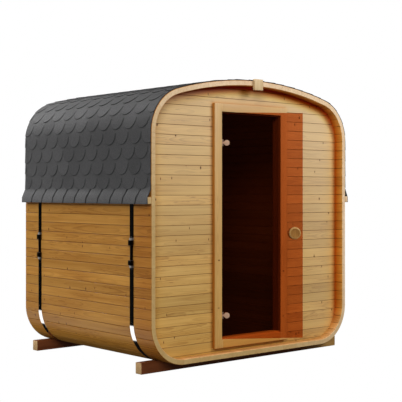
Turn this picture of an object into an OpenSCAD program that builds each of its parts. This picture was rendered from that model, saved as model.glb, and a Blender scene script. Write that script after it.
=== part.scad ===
// Cube sauna: a square barrel cabin of long staves, held by steel hoops and
// carried on two cradle skids. Millimetres, +Z up, front towards -Y, with the
// origin in the middle of the front skid's underside.

/* [Shell] */
// Outside width of the stave shell
shell_w = 2220; // [1900:10:2700]
// Outside height of the stave shell, underside to crown
shell_h = 2260; // [2160:10:2750]
// Length of the staves, front to back
shell_l = 1820; // [1400:10:3000]
// Thickness of the staves
stave_t = 42; // [34:1:50]
// Outside radius of the arched top
arch_r = 3170; // [2400:10:5000]
// Outside radius of the two upper corners
shoulder_r = 360; // [280:5:430]
// Outside radius of the two lower corners
foot_r = 330; // [250:5:400]

/* [End walls] */
// Thickness of the end wall boards
wall_t = 42; // [34:1:50]
// From the ends of the staves to the outer face of each end wall
wall_setback = 85; // [60:1:140]
// Depth of the groove in the staves that holds an end wall
croze_depth = 12; // [6:1:18]
// Play beside a board in its groove
groove_play = 0.5; // [0.2:0.1:2]
// Cover height of one wall board
board_w = 79; // [60:1:140]
// Height of the first whole board joint above the shell's underside
first_joint = 53; // [30:1:75]

/* [Skids] */
// Width of a skid, front to back
skid_w = 75; // [50:1:140]
// Height of a skid at its ends
skid_h = 88; // [70:1:160]
// Depth of the cradle cut for the shell in the middle of a skid
cradle_cut = 32; // [10:1:45]
// From the ends of the staves to the middle of the nearest skid
skid_setback = 160; // [60:5:190]

/* [Door frame] */
// Width of the front opening between the jambs
opening_w = 680; // [560:5:900]
// Height of the front opening between sill and head
opening_h = 1852; // [1500:4:1860]
// Width of a jamb's front face
jamb_w = 76; // [60:1:110]
// Height of the head's and the sill's front face
head_h = 66; // [50:1:80]
// Depth of the frame, front to back
frame_d = 90; // [80:1:140]
// How far the frame stands proud of the wall
frame_proud = 31; // [10:1:32]
// From the top of the floor staves to the underside of the frame
sill_lift = 35; // [20:1:60]
// How far the stop ledge reaches into the opening
stop_w = 12; // [8:1:20]
// Room for the seal between the glass and the stop ledge
seal_gap = 8; // [6:1:10]
// Depth of the groove in the frame that holds the wall boards
frame_groove = 10; // [5:1:20]

/* [Glass door] */
// Thickness of the glass
glass_t = 8; // [6:1:10]
// Gap at the sides of the shut glass
side_gap = 7.5; // [6:0.5:10]
// Gap above and below the shut glass
end_gap = 6; // [5:0.5:10]
// How far the door stands open
door_ajar = 34; // [0:1:90]
// From the jamb's face to the hinge axis
axis_off = 11; // [10.5:0.5:12]
// From the top of the glass to the middle of the upper hinge
hinge_top_inset = 248; // [120:4:500]
// From the bottom of the glass to the middle of the lower hinge
hinge_low_inset = 192; // [120:4:500]

/* [Hinges] */
// Diameter of the round clamps on the glass
clamp_d = 46; // [40:1:70]
// Thickness of one clamp disc
clamp_t = 6; // [4:0.5:6.5]
// From the hinge axis to the rim of the clamp discs
clamp_off = 9; // [8.5:0.5:14]
// Outside diameter of the hinge knuckles
knuckle_d = 12; // [10:0.5:12]
// Diameter of the hinge pin
pin_d = 6; // [4:0.5:7]
// Play of the pin in its bore, all round
pin_play = 0.05; // [0.02:0.01:0.09]
// Height of one knuckle
knuckle_h = 18; // [12:1:30]
// Room between two knuckles
knuckle_gap = 0.5; // [0.3:0.1:2]
// Thickness of the plate on the jamb
leaf_t = 4; // [2:0.5:4.5]

/* [Knob] */
// Diameter of the turned knobs
knob_d = 100; // [60:2:140]
// How far a knob stands off the glass
knob_h = 34; // [24:1:50]
// Diameter of a knob's neck
neck_d = 46; // [30:1:70]
// From the free edge of the glass to the middle of the knob
knob_inset = 70; // [56:1:120]
// Height of the knob above the ground
knob_z = 1062; // [800:1:1300]
// Diameter of the bolt through both knobs
knob_bolt_d = 8; // [6:1:12]
// Play of the bolt in the glass, all round
bolt_play = 2; // [1:0.5:4]

/* [Hoops] */
// Width of the steel bands
band_w = 50; // [30:1:80]
// Thickness of the steel bands
band_t = 2; // [1:0.5:3]
// From the ends of the staves to the middle of the nearest hoop
band_setback = 244; // [240:2:400]
// Height of the upper tension lug's underside above the ground
lug_upper_z = 986; // [900:2:1150]
// Clear height between the two lugs of a tensioner
lug_space = 116; // [80:2:200]
// Height of one lug
lug_h = 40; // [24:1:60]
// Width of one lug
lug_w = 50; // [40:1:90]
// How far a lug stands off its band
lug_t = 19; // [19:0.5:34]
// Radius of a lug's outer corners
lug_round = 5; // [1:0.5:8]
// Diameter of the threaded rod
rod_d = 12; // [8:1:16]
// Play of the rod in a lug, all round
rod_play = 0.5; // [0.2:0.1:1]
// How far the rod reaches past a lug
rod_tail = 30; // [20:1:60]
// Width of a nut across its flats
nut_af = 18; // [17:1:19]
// Height of a nut with its lock nut
nut_h = 18; // [10:1:20]

/* [Roof] */
// Thickness of the shingle covering
roof_t = 10; // [5:0.5:15]
// Gap between the covering's three sheets
sheet_gap = 0.2; // [0.1:0.1:2]
// Height of the eaves batten's underside above the ground
eaves_z = 1309; // [1180:5:1400]
// Thickness of the eaves batten
batten_t = 32; // [20:1:60]
// Height of the eaves batten
batten_h = 50; // [30:1:80]
// How far above the batten the covering starts to flare out
flare_h = 60; // [30:1:120]
// How far the covering hangs below the batten
drip = 3; // [0:1:20]
// From the ends of the staves to the edge of the covering
roof_setback = 4; // [0:1:30]
// Width of the ridge blocks
ridge_w = 95; // [60:1:160]
// Height of the ridge blocks
ridge_h = 91; // [60:1:120]
// Thickness of the ridge blocks, front to back
ridge_t = 27; // [12:1:40]
// How far a ridge block reaches above the covering
ridge_up = 4; // [0:1:20]

/* [Hidden] */

pine = "#dcae6c";
pine_dark = "#c58b46";
pale_pine = "#ecd09a";
bronze_glass = "#8a3f16";
black_steel = "#1a1614";
bright_steel = "#c9ccd0";
copper_steel = "#d8a184";
slate = "#4b4b4d";

$fn = 96;
arc_fn = 360; // steps round the large arcs
cut = 1; // how far a cutter runs past the face it opens

// Front to back
shell_y0 = -skid_setback;
shell_y1 = shell_y0 + shell_l;
rear_skid_y = shell_l - 2 * skid_setback;
front_wall_y = shell_y0 + wall_setback;
rear_wall_y = shell_y1 - wall_setback - wall_t;
band_y = [shell_y0 + band_setback, shell_y1 - band_setback];

// Outline of the shell: a tangent arc for the top, one for each corner
half_w = shell_w / 2;
seat_z = skid_h - cradle_cut;
crown_z = seat_z + shell_h;
arch_cz = crown_z - arch_r;
shoulder_cx = half_w - shoulder_r;
arch_half_a = asin(shoulder_cx / (arch_r - shoulder_r));
shoulder_cz = arch_cz + (arch_r - shoulder_r) * cos(arch_half_a);
foot_cx = half_w - foot_r;
foot_cz = seat_z + foot_r;
floor_z = seat_z + stave_t;

// Door frame
frame_z0 = floor_z + sill_lift;
opening_z0 = frame_z0 + head_h;
opening_z1 = opening_z0 + opening_h;
frame_z1 = opening_z1 + head_h;
frame_half_w = opening_w / 2 + jamb_w;
frame_y = front_wall_y - frame_proud;
rebate_d = glass_t + seal_gap;
joint_z = seat_z + first_joint;
split_low_z = joint_z + board_w * ceil((frame_z0 + frame_groove - joint_z) / board_w);
split_high_z = joint_z + board_w * floor((frame_z1 - frame_groove - joint_z) / board_w);

// Door, in its shut place
axis_x = -opening_w / 2 + axis_off;
axis_y = frame_y + glass_t / 2;
glass_x0 = -opening_w / 2 + side_gap;
glass_x1 = opening_w / 2 - side_gap;
glass_z0 = opening_z0 + end_gap;
glass_z1 = opening_z1 - end_gap;
hinge_z = [glass_z0 + hinge_low_inset, glass_z1 - hinge_top_inset];
clamp_x = axis_x + clamp_off + clamp_d / 2;
knob_x = glass_x1 - knob_inset;
web_z = knuckle_h - 2 * knuckle_gap;
web_x1 = axis_x + clamp_off + clamp_d / 3;
knuckle_stack = 3 * knuckle_h;
notch_room = 2.5; // room round the knuckles in the glass
knob_neck_h = 10; // from the glass to the knob's rim
knob_dish = 4; // depth of the dish in a knob's face
knob_dish_r = 160; // radius of that dish

// Hoops
lug_lower_z = lug_upper_z - lug_space - lug_h;
rod_x = half_w + band_t + lug_t / 2;
nut_d = nut_af / cos(30); // across the corners of the hexagon
channel_play = 2; // beside a band, in what lies over it

// Roof
batten_z1 = eaves_z + batten_h;
flare_z = batten_z1 + flare_h;
roof_x = half_w + batten_t + roof_t;
flare_a = atan(batten_t / flare_h);
kink = roof_t * tan(flare_a / 2); // keeps the sheet's thickness round a bend

// Draws flat children upright, facing the front, and carries them back from y0
module run_y(y0, length) {
  translate([0, y0 + length, 0])
    rotate([90, 0, 0])
      linear_extrude(height = length)
        children();
}

// Sector of a flat ring with outside radius r and thickness t
module ring_sector(r, t, a0, a1) {
  reach = 1.4 * r;
  intersection() {
    difference() {
      circle(r, $fn = arc_fn);
      circle(r - t, $fn = arc_fn);
    }
    polygon([[0, 0], for (a = [a0, (a0 + a1) / 2, a1]) reach * [cos(a), sin(a)]]);
  }
}

module ring(r0, r1) {
  difference() {
    circle(r1, $fn = arc_fn);
    circle(r0, $fn = arc_fn);
  }
}

module mirrored_if(other) {
  mirror([other ? 1 : 0, 0, 0])
    children();
}

// Layer of thickness t on the outside of the stave shell, right half, as flat
// pieces; a negative t gives the layer inside the outline
module arch_layer(r, t) {
  translate([0, arch_cz])
    ring_sector(r, t, 90 - arch_half_a, 90);
}

module shoulder_layer(r, t) {
  translate([shoulder_cx, shoulder_cz])
    ring_sector(r, t, 0, 90 - arch_half_a);
}

module foot_layer(r, t) {
  translate([foot_cx, foot_cz])
    ring_sector(r, t, -90, 0);
}

// Staves ------------------------------------------------------------------

// Cuts both end wall grooves out of its first child with its second, flat one
module with_crozes() {
  difference() {
    run_y(shell_y0, shell_l)
      children(0);
    for (y = [front_wall_y, rear_wall_y])
      run_y(y - groove_play, wall_t + 2 * groove_play)
        children(1);
  }
}

module floor_staves() {
  color(pine_dark)
    with_crozes() {
      translate([-foot_cx, seat_z])
        square([2 * foot_cx, stave_t]);
      translate([-half_w, floor_z - croze_depth])
        square([shell_w, croze_depth + cut]);
    }
}

module lower_corner_staves() {
  groove_r = foot_r - stave_t + croze_depth;
  color(pine_dark)
    with_crozes() {
      foot_layer(foot_r, stave_t);
      translate([foot_cx, foot_cz])
        ring(groove_r - croze_depth - cut, groove_r);
    }
}

module side_staves() {
  color(pine_dark)
    with_crozes() {
      translate([half_w - stave_t, foot_cz])
        square([stave_t, shoulder_cz - foot_cz]);
      translate([half_w - stave_t - cut, 0])
        square([croze_depth + cut, crown_z]);
    }
}

module upper_corner_staves() {
  groove_r = shoulder_r - stave_t + croze_depth;
  color(pine)
    with_crozes() {
      shoulder_layer(shoulder_r, stave_t);
      translate([shoulder_cx, shoulder_cz])
        ring(groove_r - croze_depth - cut, groove_r);
    }
}

module roof_staves() {
  groove_r = arch_r - stave_t + croze_depth;
  color(pine)
    with_crozes() {
      arch_layer(arch_r, stave_t);
      translate([0, arch_cz])
        ring(groove_r - croze_depth - cut, groove_r);
    }
}

// End walls ---------------------------------------------------------------

// Outline of an end wall: it stands on the bottom of the floor groove and has
// play against the other staves
module wall_outline() {
  inset = stave_t - croze_depth + groove_play;
  sole_z = floor_z - croze_depth;
  reach = shoulder_r + stave_t;
  intersection() {
    translate([0, arch_cz])
      circle(arch_r - inset, $fn = arc_fn);
    polygon([
      [-shoulder_cx, shoulder_cz],
      [-shoulder_cx - reach * sin(arch_half_a), shoulder_cz + reach * cos(arch_half_a)],
      [0, crown_z + reach],
      [shoulder_cx + reach * sin(arch_half_a), shoulder_cz + reach * cos(arch_half_a)],
      [shoulder_cx, shoulder_cz]
    ]);
  }
  for (s = [-1, 1]) {
    translate([s * shoulder_cx, shoulder_cz])
      circle(shoulder_r - inset, $fn = arc_fn);
    translate([s * foot_cx, foot_cz])
      circle(foot_r - inset, $fn = arc_fn);
  }
  translate([-half_w + inset, foot_cz])
    square([2 * (half_w - inset), shoulder_cz - foot_cz]);
  translate([-foot_cx, sole_z])
    square([2 * foot_cx, foot_cz - sole_z]);
}

// Part of the front wall between two heights, less the hole for the door frame
module front_wall(x0, x1, z0, z1) {
  hole_half_w = frame_half_w - frame_groove;
  color(pine)
    run_y(front_wall_y, wall_t)
      difference() {
        intersection() {
          wall_outline();
          translate([x0, z0])
            square([x1 - x0, z1 - z0]);
        }
        translate([-hole_half_w, frame_z0 + frame_groove])
          square([2 * hole_half_w, frame_z1 - frame_z0 - 2 * frame_groove]);
      }
}

module rear_wall() {
  color(pine)
    run_y(rear_wall_y, wall_t)
      wall_outline();
}

// Skids -------------------------------------------------------------------

// A skid with its top hollowed to the underside of the shell
module skid(y) {
  run = skid_w + 2 * cut;
  color(pine_dark)
    difference() {
      translate([-half_w, y - skid_w / 2, 0])
        cube([shell_w, skid_w, skid_h]);
      translate([-foot_cx, y - run / 2, seat_z])
        cube([2 * foot_cx, run, skid_h]);
      for (s = [-1, 1])
        run_y(y - run / 2, run)
          translate([s * foot_cx, foot_cz])
            circle(foot_r, $fn = arc_fn);
    }
}

// Door frame --------------------------------------------------------------

module frame_wall_groove(x, z, w, h) {
  translate([x, front_wall_y - groove_play, z])
    cube([w, wall_t + 2 * groove_play, h]);
}

// Right jamb: front face, rebate for the glass, stop ledge, groove for the wall
module door_jamb() {
  color(pine)
    difference() {
      translate([opening_w / 2 - stop_w, frame_y, frame_z0])
        cube([jamb_w + stop_w, frame_d, frame_z1 - frame_z0]);
      translate([0, frame_y - cut, opening_z0])
        cube([opening_w / 2, rebate_d + cut, opening_h]);
      frame_wall_groove(frame_half_w - frame_groove, 0, frame_groove + cut, crown_z);
      for (z = [frame_z0 - cut, frame_z1 - frame_groove])
        frame_wall_groove(0, z, frame_half_w, frame_groove + cut);
    }
}

// Rail across the frame, head above or sill below
module frame_rail(z0, z1, groove_z) {
  inner_half_w = opening_w / 2 - stop_w;
  color(pine)
    difference() {
      translate([-inner_half_w, frame_y, z0])
        cube([2 * inner_half_w, frame_d, z1 - z0]);
      translate([-opening_w / 2, frame_y - cut, opening_z0])
        cube([opening_w, rebate_d + cut, opening_h]);
      frame_wall_groove(-opening_w / 2, groove_z, opening_w, frame_groove + cut);
    }
}

module door_head() {
  frame_rail(opening_z1 - stop_w, frame_z1, frame_z1 - frame_groove);
}

module door_sill() {
  frame_rail(frame_z0, opening_z0 + stop_w, frame_z0 - cut);
}

// Door --------------------------------------------------------------------

// Turns its children about the hinge axis from shut to where the door stands
module door_pose() {
  translate([axis_x, axis_y, 0])
    rotate([0, 0, -door_ajar])
      translate([-axis_x, -axis_y, 0])
        children();
}

module door_glass() {
  notch_x1 = axis_x + knuckle_d / 2 + notch_room;
  notch_z = knuckle_stack / 2 + notch_room;
  color(bronze_glass)
    door_pose()
      difference() {
        translate([glass_x0, frame_y, glass_z0])
          cube([glass_x1 - glass_x0, glass_t, glass_z1 - glass_z0]);
        for (z = hinge_z) {
          translate([glass_x0 - cut, frame_y - cut, z - notch_z])
            cube([notch_x1 - glass_x0 + cut, glass_t + 2 * cut, 2 * notch_z]);
          translate([glass_x0, frame_y - cut, z - web_z / 2])
            cube([web_x1 - glass_x0, glass_t + 2 * cut, web_z]);
        }
        translate([knob_x, frame_y - cut, knob_z])
          rotate([-90, 0, 0])
            cylinder(d = knob_bolt_d + 2 * bolt_play, h = glass_t + 2 * cut);
      }
}

// Two discs that grip the glass, and a knuckle that turns on the pin
module hinge_clamp(z) {
  color(copper_steel)
    door_pose()
      difference() {
        union() {
          for (y = [frame_y - clamp_t, frame_y + glass_t])
            translate([clamp_x, y, z])
              rotate([-90, 0, 0])
                cylinder(d = clamp_d, h = clamp_t);
          translate([axis_x, frame_y, z - web_z / 2])
            cube([web_x1 - axis_x, glass_t, web_z]);
          translate([axis_x, axis_y, z - web_z / 2])
            cylinder(d = knuckle_d, h = web_z);
        }
        translate([axis_x, axis_y, z - knuckle_h])
          cylinder(d = pin_d + 2 * pin_play, h = 2 * knuckle_h);
      }
}

// Plate on the jamb with two fixed knuckles and the pin through them
module hinge_bracket(z) {
  jamb_x = -opening_w / 2;
  color(copper_steel) {
    translate([jamb_x, frame_y, z - knuckle_stack / 2])
      cube([leaf_t, rebate_d, knuckle_stack]);
    for (z0 = [z - knuckle_stack / 2, z + knuckle_h / 2]) {
      translate([jamb_x, frame_y, z0])
        cube([axis_off, glass_t, knuckle_h]);
      translate([axis_x, axis_y, z0])
        cylinder(d = knuckle_d, h = knuckle_h);
    }
    translate([axis_x, axis_y, z - knuckle_stack / 2])
      cylinder(d = pin_d, h = knuckle_stack);
  }
}

// Half section of a turned knob: neck, rounded rim and a dished face
module knob_profile() {
  rim_r = (knob_h - knob_neck_h) / 2;
  difference() {
    union() {
      square([neck_d / 2, knob_h - rim_r]);
      translate([0, knob_neck_h])
        square([knob_d / 2 - rim_r, 2 * rim_r]);
      translate([knob_d / 2 - rim_r, knob_neck_h + rim_r])
        circle(rim_r);
    }
    translate([0, knob_h + knob_dish_r - knob_dish])
      circle(knob_dish_r, $fn = arc_fn);
    translate([-knob_d, -knob_d])
      square([knob_d + knob_bolt_d / 2, 3 * knob_d]);
  }
}

module door_knob(outer) {
  color(pale_pine)
    door_pose()
      translate([knob_x, outer ? frame_y : frame_y + glass_t, knob_z])
        rotate([outer ? 90 : -90, 0, 0])
          rotate_extrude()
            knob_profile();
}

module knob_bolt() {
  bolt_l = glass_t + 2 * (knob_h - 2 * knob_dish);
  color(bright_steel)
    door_pose()
      translate([knob_x, axis_y - bolt_l / 2, knob_z])
        rotate([-90, 0, 0])
          cylinder(d = knob_bolt_d, h = bolt_l);
}

// Hoops -------------------------------------------------------------------

// Flat section of a lug, a bar welded to the band with its outer corners rounded
module lug_section() {
  corner_y = lug_w / 2 - lug_round;
  translate([0, -lug_w / 2])
    square([lug_t - lug_round, lug_w]);
  translate([0, -corner_y])
    square([lug_t, 2 * corner_y]);
  for (s = [-1, 1])
    translate([lug_t - lug_round, s * corner_y])
      circle(lug_round);
}

module lug_pair(y, z) {
  for (s = [-1, 1])
    mirrored_if(s < 0)
      difference() {
        translate([half_w + band_t, y, z])
          linear_extrude(height = lug_h)
            lug_section();
        translate([rod_x, y, z - cut])
          cylinder(d = rod_d + 2 * rod_play, h = lug_h + 2 * cut);
      }
}

// Upper half of a hoop, from lug to lug over the top
module band_upper(y) {
  color(black_steel) {
    for (s = [-1, 1])
      mirrored_if(s < 0)
        run_y(y - band_w / 2, band_w) {
          arch_layer(arch_r + band_t, band_t);
          shoulder_layer(shoulder_r + band_t, band_t);
          translate([half_w, lug_upper_z])
            square([band_t, shoulder_cz - lug_upper_z]);
        }
    lug_pair(y, lug_upper_z);
  }
}

// Lower half of a hoop, from lug to lug under the floor
module band_lower(y) {
  color(black_steel) {
    for (s = [-1, 1])
      mirrored_if(s < 0)
        run_y(y - band_w / 2, band_w) {
          foot_layer(foot_r + band_t, band_t);
          translate([half_w, foot_cz])
            square([band_t, lug_lower_z + lug_h - foot_cz]);
          translate([0, seat_z - band_t])
            square([foot_cx, band_t]);
        }
    lug_pair(y, lug_lower_z);
  }
}

// Threaded rod through two lugs, with a nut and its lock nut on the far side of
// each, one flat to the band
module tension_rod(y) {
  rod_z0 = lug_lower_z - rod_tail;
  rod_l = lug_upper_z + lug_h + rod_tail - rod_z0;
  color(bright_steel)
    translate([rod_x, y, 0]) {
      translate([0, 0, rod_z0])
        cylinder(d = rod_d, h = rod_l);
      for (z = [lug_lower_z - nut_h, lug_upper_z + lug_h])
        translate([0, 0, z])
          rotate([0, 0, 30])
            cylinder(d = nut_d, h = nut_h, $fn = 6);
    }
}

// Roof --------------------------------------------------------------------

module band_channels() {
  for (y = band_y)
    run_y(y - band_w / 2 - channel_play, band_w + 2 * channel_play)
      children();
}

module eaves_batten() {
  color(pale_pine)
    difference() {
      translate([half_w, shell_y0, eaves_z])
        cube([batten_t, shell_l, batten_h]);
      band_channels()
        translate([half_w - cut, eaves_z - cut])
          square([band_t + cut, batten_h + 2 * cut]);
    }
}

// Covering over one corner and down the side, flared out over the batten
module roof_covering_side() {
  color(slate)
    difference() {
      run_y(shell_y0 + roof_setback, shell_l - 2 * roof_setback) {
        shoulder_layer(shoulder_r + roof_t, roof_t);
        polygon([
          [half_w, shoulder_cz],
          [half_w, flare_z],
          [half_w + batten_t, batten_z1],
          [half_w + batten_t, eaves_z - drip],
          [roof_x, eaves_z - drip],
          [roof_x, batten_z1 + kink],
          [half_w + roof_t, flare_z + kink],
          [half_w + roof_t, shoulder_cz]
        ]);
      }
      band_channels() {
        translate([shoulder_cx, shoulder_cz])
          ring(shoulder_r - cut, shoulder_r + band_t);
        translate([half_w - cut, batten_z1])
          square([band_t + cut, shoulder_cz - batten_z1]);
      }
    }
}

module roof_covering_arch() {
  gap_a = sheet_gap / arch_r * 180 / PI;
  half_a = arch_half_a - gap_a;
  color(slate)
    difference() {
      run_y(shell_y0 + roof_setback, shell_l - 2 * roof_setback)
        translate([0, arch_cz])
          ring_sector(arch_r + roof_t, roof_t, 90 - half_a, 90 + half_a);
      band_channels()
        translate([0, arch_cz])
          ring(arch_r - cut, arch_r + band_t);
    }
}

module ridge_block(y) {
  color(pale_pine)
    translate([-ridge_w / 2, y, crown_z + roof_t + ridge_up - ridge_h])
      cube([ridge_w, ridge_t, ridge_h]);
}

skid(0);  // skid_front
skid(rear_skid_y);  // skid_rear
floor_staves();
mirrored_if(true) lower_corner_staves();  // lower_left_corner_staves
lower_corner_staves();  // lower_right_corner_staves
mirrored_if(true) side_staves();  // left_side_staves
side_staves();  // right_side_staves
mirrored_if(true) upper_corner_staves();  // upper_left_corner_staves
upper_corner_staves();  // upper_right_corner_staves
mirrored_if(true) roof_staves();  // roof_staves_left
roof_staves();  // roof_staves_right
front_wall(-half_w, 0, split_low_z, split_high_z);  // front_wall_left
front_wall(0, half_w, split_low_z, split_high_z);  // front_wall_right
front_wall(-half_w, half_w, split_high_z, crown_z);  // front_wall_over_door
front_wall(-half_w, half_w, seat_z, split_low_z);  // front_wall_under_door
rear_wall();
mirrored_if(true) door_jamb();  // door_jamb_left
door_jamb();  // door_jamb_right
door_head();
door_sill();
door_glass();
hinge_clamp(hinge_z[1]);  // hinge_clamp_top
hinge_clamp(hinge_z[0]);  // hinge_clamp_bottom
hinge_bracket(hinge_z[1]);  // hinge_bracket_top
hinge_bracket(hinge_z[0]);  // hinge_bracket_bottom
door_knob(true);  // door_knob_outer
door_knob(false);  // door_knob_inner
knob_bolt();
band_upper(band_y[0]);  // band_front_upper
band_lower(band_y[0]);  // band_front_lower
band_upper(band_y[1]);  // band_rear_upper
band_lower(band_y[1]);  // band_rear_lower
mirrored_if(true) tension_rod(band_y[0]);  // tension_rod_front_left
tension_rod(band_y[0]);  // tension_rod_front_right
mirrored_if(true) tension_rod(band_y[1]);  // tension_rod_rear_left
tension_rod(band_y[1]);  // tension_rod_rear_right
mirrored_if(true) eaves_batten();  // eaves_batten_left
eaves_batten();  // eaves_batten_right
mirrored_if(true) roof_covering_side();  // roof_covering_left
roof_covering_arch();
roof_covering_side();  // roof_covering_right
ridge_block(shell_y0 - ridge_t);  // ridge_block_front
ridge_block(shell_y1);  // ridge_block_rear
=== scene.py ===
import math

import bmesh
import bpy
import numpy as np
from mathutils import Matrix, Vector


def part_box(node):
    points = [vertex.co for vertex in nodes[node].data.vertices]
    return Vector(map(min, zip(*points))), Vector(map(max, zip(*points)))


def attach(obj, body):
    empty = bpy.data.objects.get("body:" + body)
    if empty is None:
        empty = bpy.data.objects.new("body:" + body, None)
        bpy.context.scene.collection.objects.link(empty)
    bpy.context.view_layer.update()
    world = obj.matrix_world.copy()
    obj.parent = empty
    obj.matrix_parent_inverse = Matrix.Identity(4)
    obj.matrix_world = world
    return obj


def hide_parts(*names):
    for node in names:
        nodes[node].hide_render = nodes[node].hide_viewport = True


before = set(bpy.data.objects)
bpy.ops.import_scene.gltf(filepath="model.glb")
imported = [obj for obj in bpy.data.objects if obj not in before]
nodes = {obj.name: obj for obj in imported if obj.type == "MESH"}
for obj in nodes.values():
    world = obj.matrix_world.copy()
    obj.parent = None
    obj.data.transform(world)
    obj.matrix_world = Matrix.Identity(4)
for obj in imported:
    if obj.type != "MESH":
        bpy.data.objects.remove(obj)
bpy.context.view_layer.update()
print("frame loaded:", len(nodes), "nodes")


# ---- measures of the shell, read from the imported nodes

sideLo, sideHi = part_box("right_side_staves")
floorLo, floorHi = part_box("floor_staves")
roofLo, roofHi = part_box("roof_staves_right")
shoulderLo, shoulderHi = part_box("upper_right_corner_staves")
wallLo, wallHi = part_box("rear_wall")
frontLo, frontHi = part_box("front_wall_left")

halfW = sideHi.x
staveT = sideHi.x - sideLo.x
shellY0, shellY1 = floorLo.y, floorHi.y
footCx, seatZ, floorZ = floorHi.x, floorLo.z, floorHi.z
footR = halfW - footCx
footCz, shoulderCz, crownZ = sideLo.z, sideHi.z, roofHi.z
# the corner arc leaves the side upright and meets the top at the same slope,
# so its radius follows from how far that meeting point lies in and up
inward, upward = halfW - roofHi.x, shoulderHi.z - shoulderCz
shoulderR = (inward ** 2 + upward ** 2) / (2 * inward)
topTilt = math.asin((roofHi.x - (halfW - shoulderR)) / shoulderR)
archR = roofHi.x / math.sin(topTilt)
archCz = crownZ - archR
wallInset = halfW - wallHi.x        # from the outer line to the edge of an end wall
crozeDepth = staveT - wallInset

# lengths of the five stretches of the outer line, from the middle of the floor up
stretches = np.cumsum([footCx, footR * math.pi / 2, shoulderCz - footCz,
                       shoulderR * (math.pi / 2 - topTilt), archR * topTilt])
halfLine = float(stretches[-1])


def outerLine(s):
    # point and outward normal at distance s along the outer line; s runs from the
    # middle of the floor up the right side, and negative s up the left side
    a, side = np.abs(s), np.where(np.asarray(s) < 0, -1.0, 1.0)
    foot = (a - stretches[0]) / footR
    shoulder = (a - stretches[2]) / shoulderR
    top = (halfLine - a) / archR
    where = [a < stretches[0], a < stretches[1], a < stretches[2], a < stretches[3]]
    nx = np.select(where, [0 * a, np.sin(foot), 0 * a + 1, np.cos(shoulder)], np.sin(top))
    nz = np.select(where, [0 * a - 1, -np.cos(foot), 0 * a, np.sin(shoulder)], np.cos(top))
    x = np.select(where, [a, footCx + footR * nx, 0 * a + halfW,
                          halfW - shoulderR + shoulderR * nx], archR * nx)
    z = np.select(where, [0 * a + seatZ, footCz + footR * nz, footCz + a - stretches[1],
                          shoulderCz + shoulderR * nz], archCz + archR * nz)
    return x * side, z, nx * side, nz


# ---- shader graphs written as expressions


class Socket:
    # a node's output; arithmetic on it adds Math nodes

    def __init__(self, graph, out):
        self.graph, self.out = graph, out

    def math(self, operation, *others, clamp=False):
        return self.graph.add("ShaderNodeMath", {"operation": operation, "use_clamp": clamp}, (self,) + others)

    def __add__(self, other):
        return self.math("ADD", other)

    def __sub__(self, other):
        return self.math("SUBTRACT", other)

    def __mul__(self, other):
        return self.math("MULTIPLY", other)

    def __truediv__(self, other):
        return self.math("DIVIDE", other)

    def __pow__(self, other):
        return self.math("POWER", other)

    def __radd__(self, other):
        return self.math("ADD", other)

    def __rmul__(self, other):
        return self.math("MULTIPLY", other)

    def __rsub__(self, other):
        return self.graph.add("ShaderNodeMath", {"operation": "SUBTRACT"}, (other, self))

    def __rtruediv__(self, other):
        return self.graph.add("ShaderNodeMath", {"operation": "DIVIDE"}, (other, self))


class Graph:
    # one material and the nodes in it

    def __init__(self, name):
        self.material = bpy.data.materials.new(name)
        self.material.use_nodes = True
        self.tree = self.material.node_tree
        self.tree.nodes.clear()

    def add(self, kind, settings=None, values=None, output=0):
        node = self.tree.nodes.new(kind)
        for key, value in (settings or {}).items():
            if key == "stops":
                ramp = node.color_ramp
                while len(ramp.elements) < len(value):
                    ramp.elements.new(1.0)
                for element, (place, colour) in zip(ramp.elements, value):
                    element.position, element.color = place, colour
            else:
                setattr(node, key, value)
        pairs = values.items() if isinstance(values, dict) else enumerate(values or ())
        for key, value in pairs:
            socket = node.inputs[key]
            if isinstance(value, Socket):
                self.tree.links.new(value.out, socket)
            else:
                socket.default_value = value
        return Socket(self, node.outputs[output])

    def attribute(self, name, output="Fac"):
        return self.add("ShaderNodeAttribute", {"attribute_name": name}, output=output)

    def parts(self, vector):
        split = self.add("ShaderNodeSeparateXYZ", {}, (vector,)).out.node
        return [Socket(self, o) for o in split.outputs]

    def join(self, x, y, z):
        return self.add("ShaderNodeCombineXYZ", {}, (x, y, z))

    def blend(self, factor, a, b, kind="MIX"):
        # mix of two colours by a factor
        return self.add("ShaderNodeMix", {"data_type": "RGBA", "blend_type": kind, "clamp_factor": True},
                        {0: factor, 6: a, 7: b}, output=2)

    def noise(self, vector, scale, detail=2.0, rough=0.5, output="Fac"):
        return self.add("ShaderNodeTexNoise", {}, {"Vector": vector, "Scale": scale, "Detail": detail,
                                                   "Roughness": rough}, output=output)

    def ramp(self, factor, *stops):
        # smooth step between two values
        low, high = stops
        return self.add("ShaderNodeMapRange", {"interpolation_type": "SMOOTHSTEP"},
                        {"Value": factor, "From Min": low, "From Max": high})

    def finish(self, shader):
        out = self.tree.nodes.new("ShaderNodeOutputMaterial")
        self.tree.links.new(shader.out, out.inputs["Surface"])
        return self.material


def colour(r, g, b):
    return (r, g, b, 1.0)


# ---- meshes from whole arrays


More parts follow.
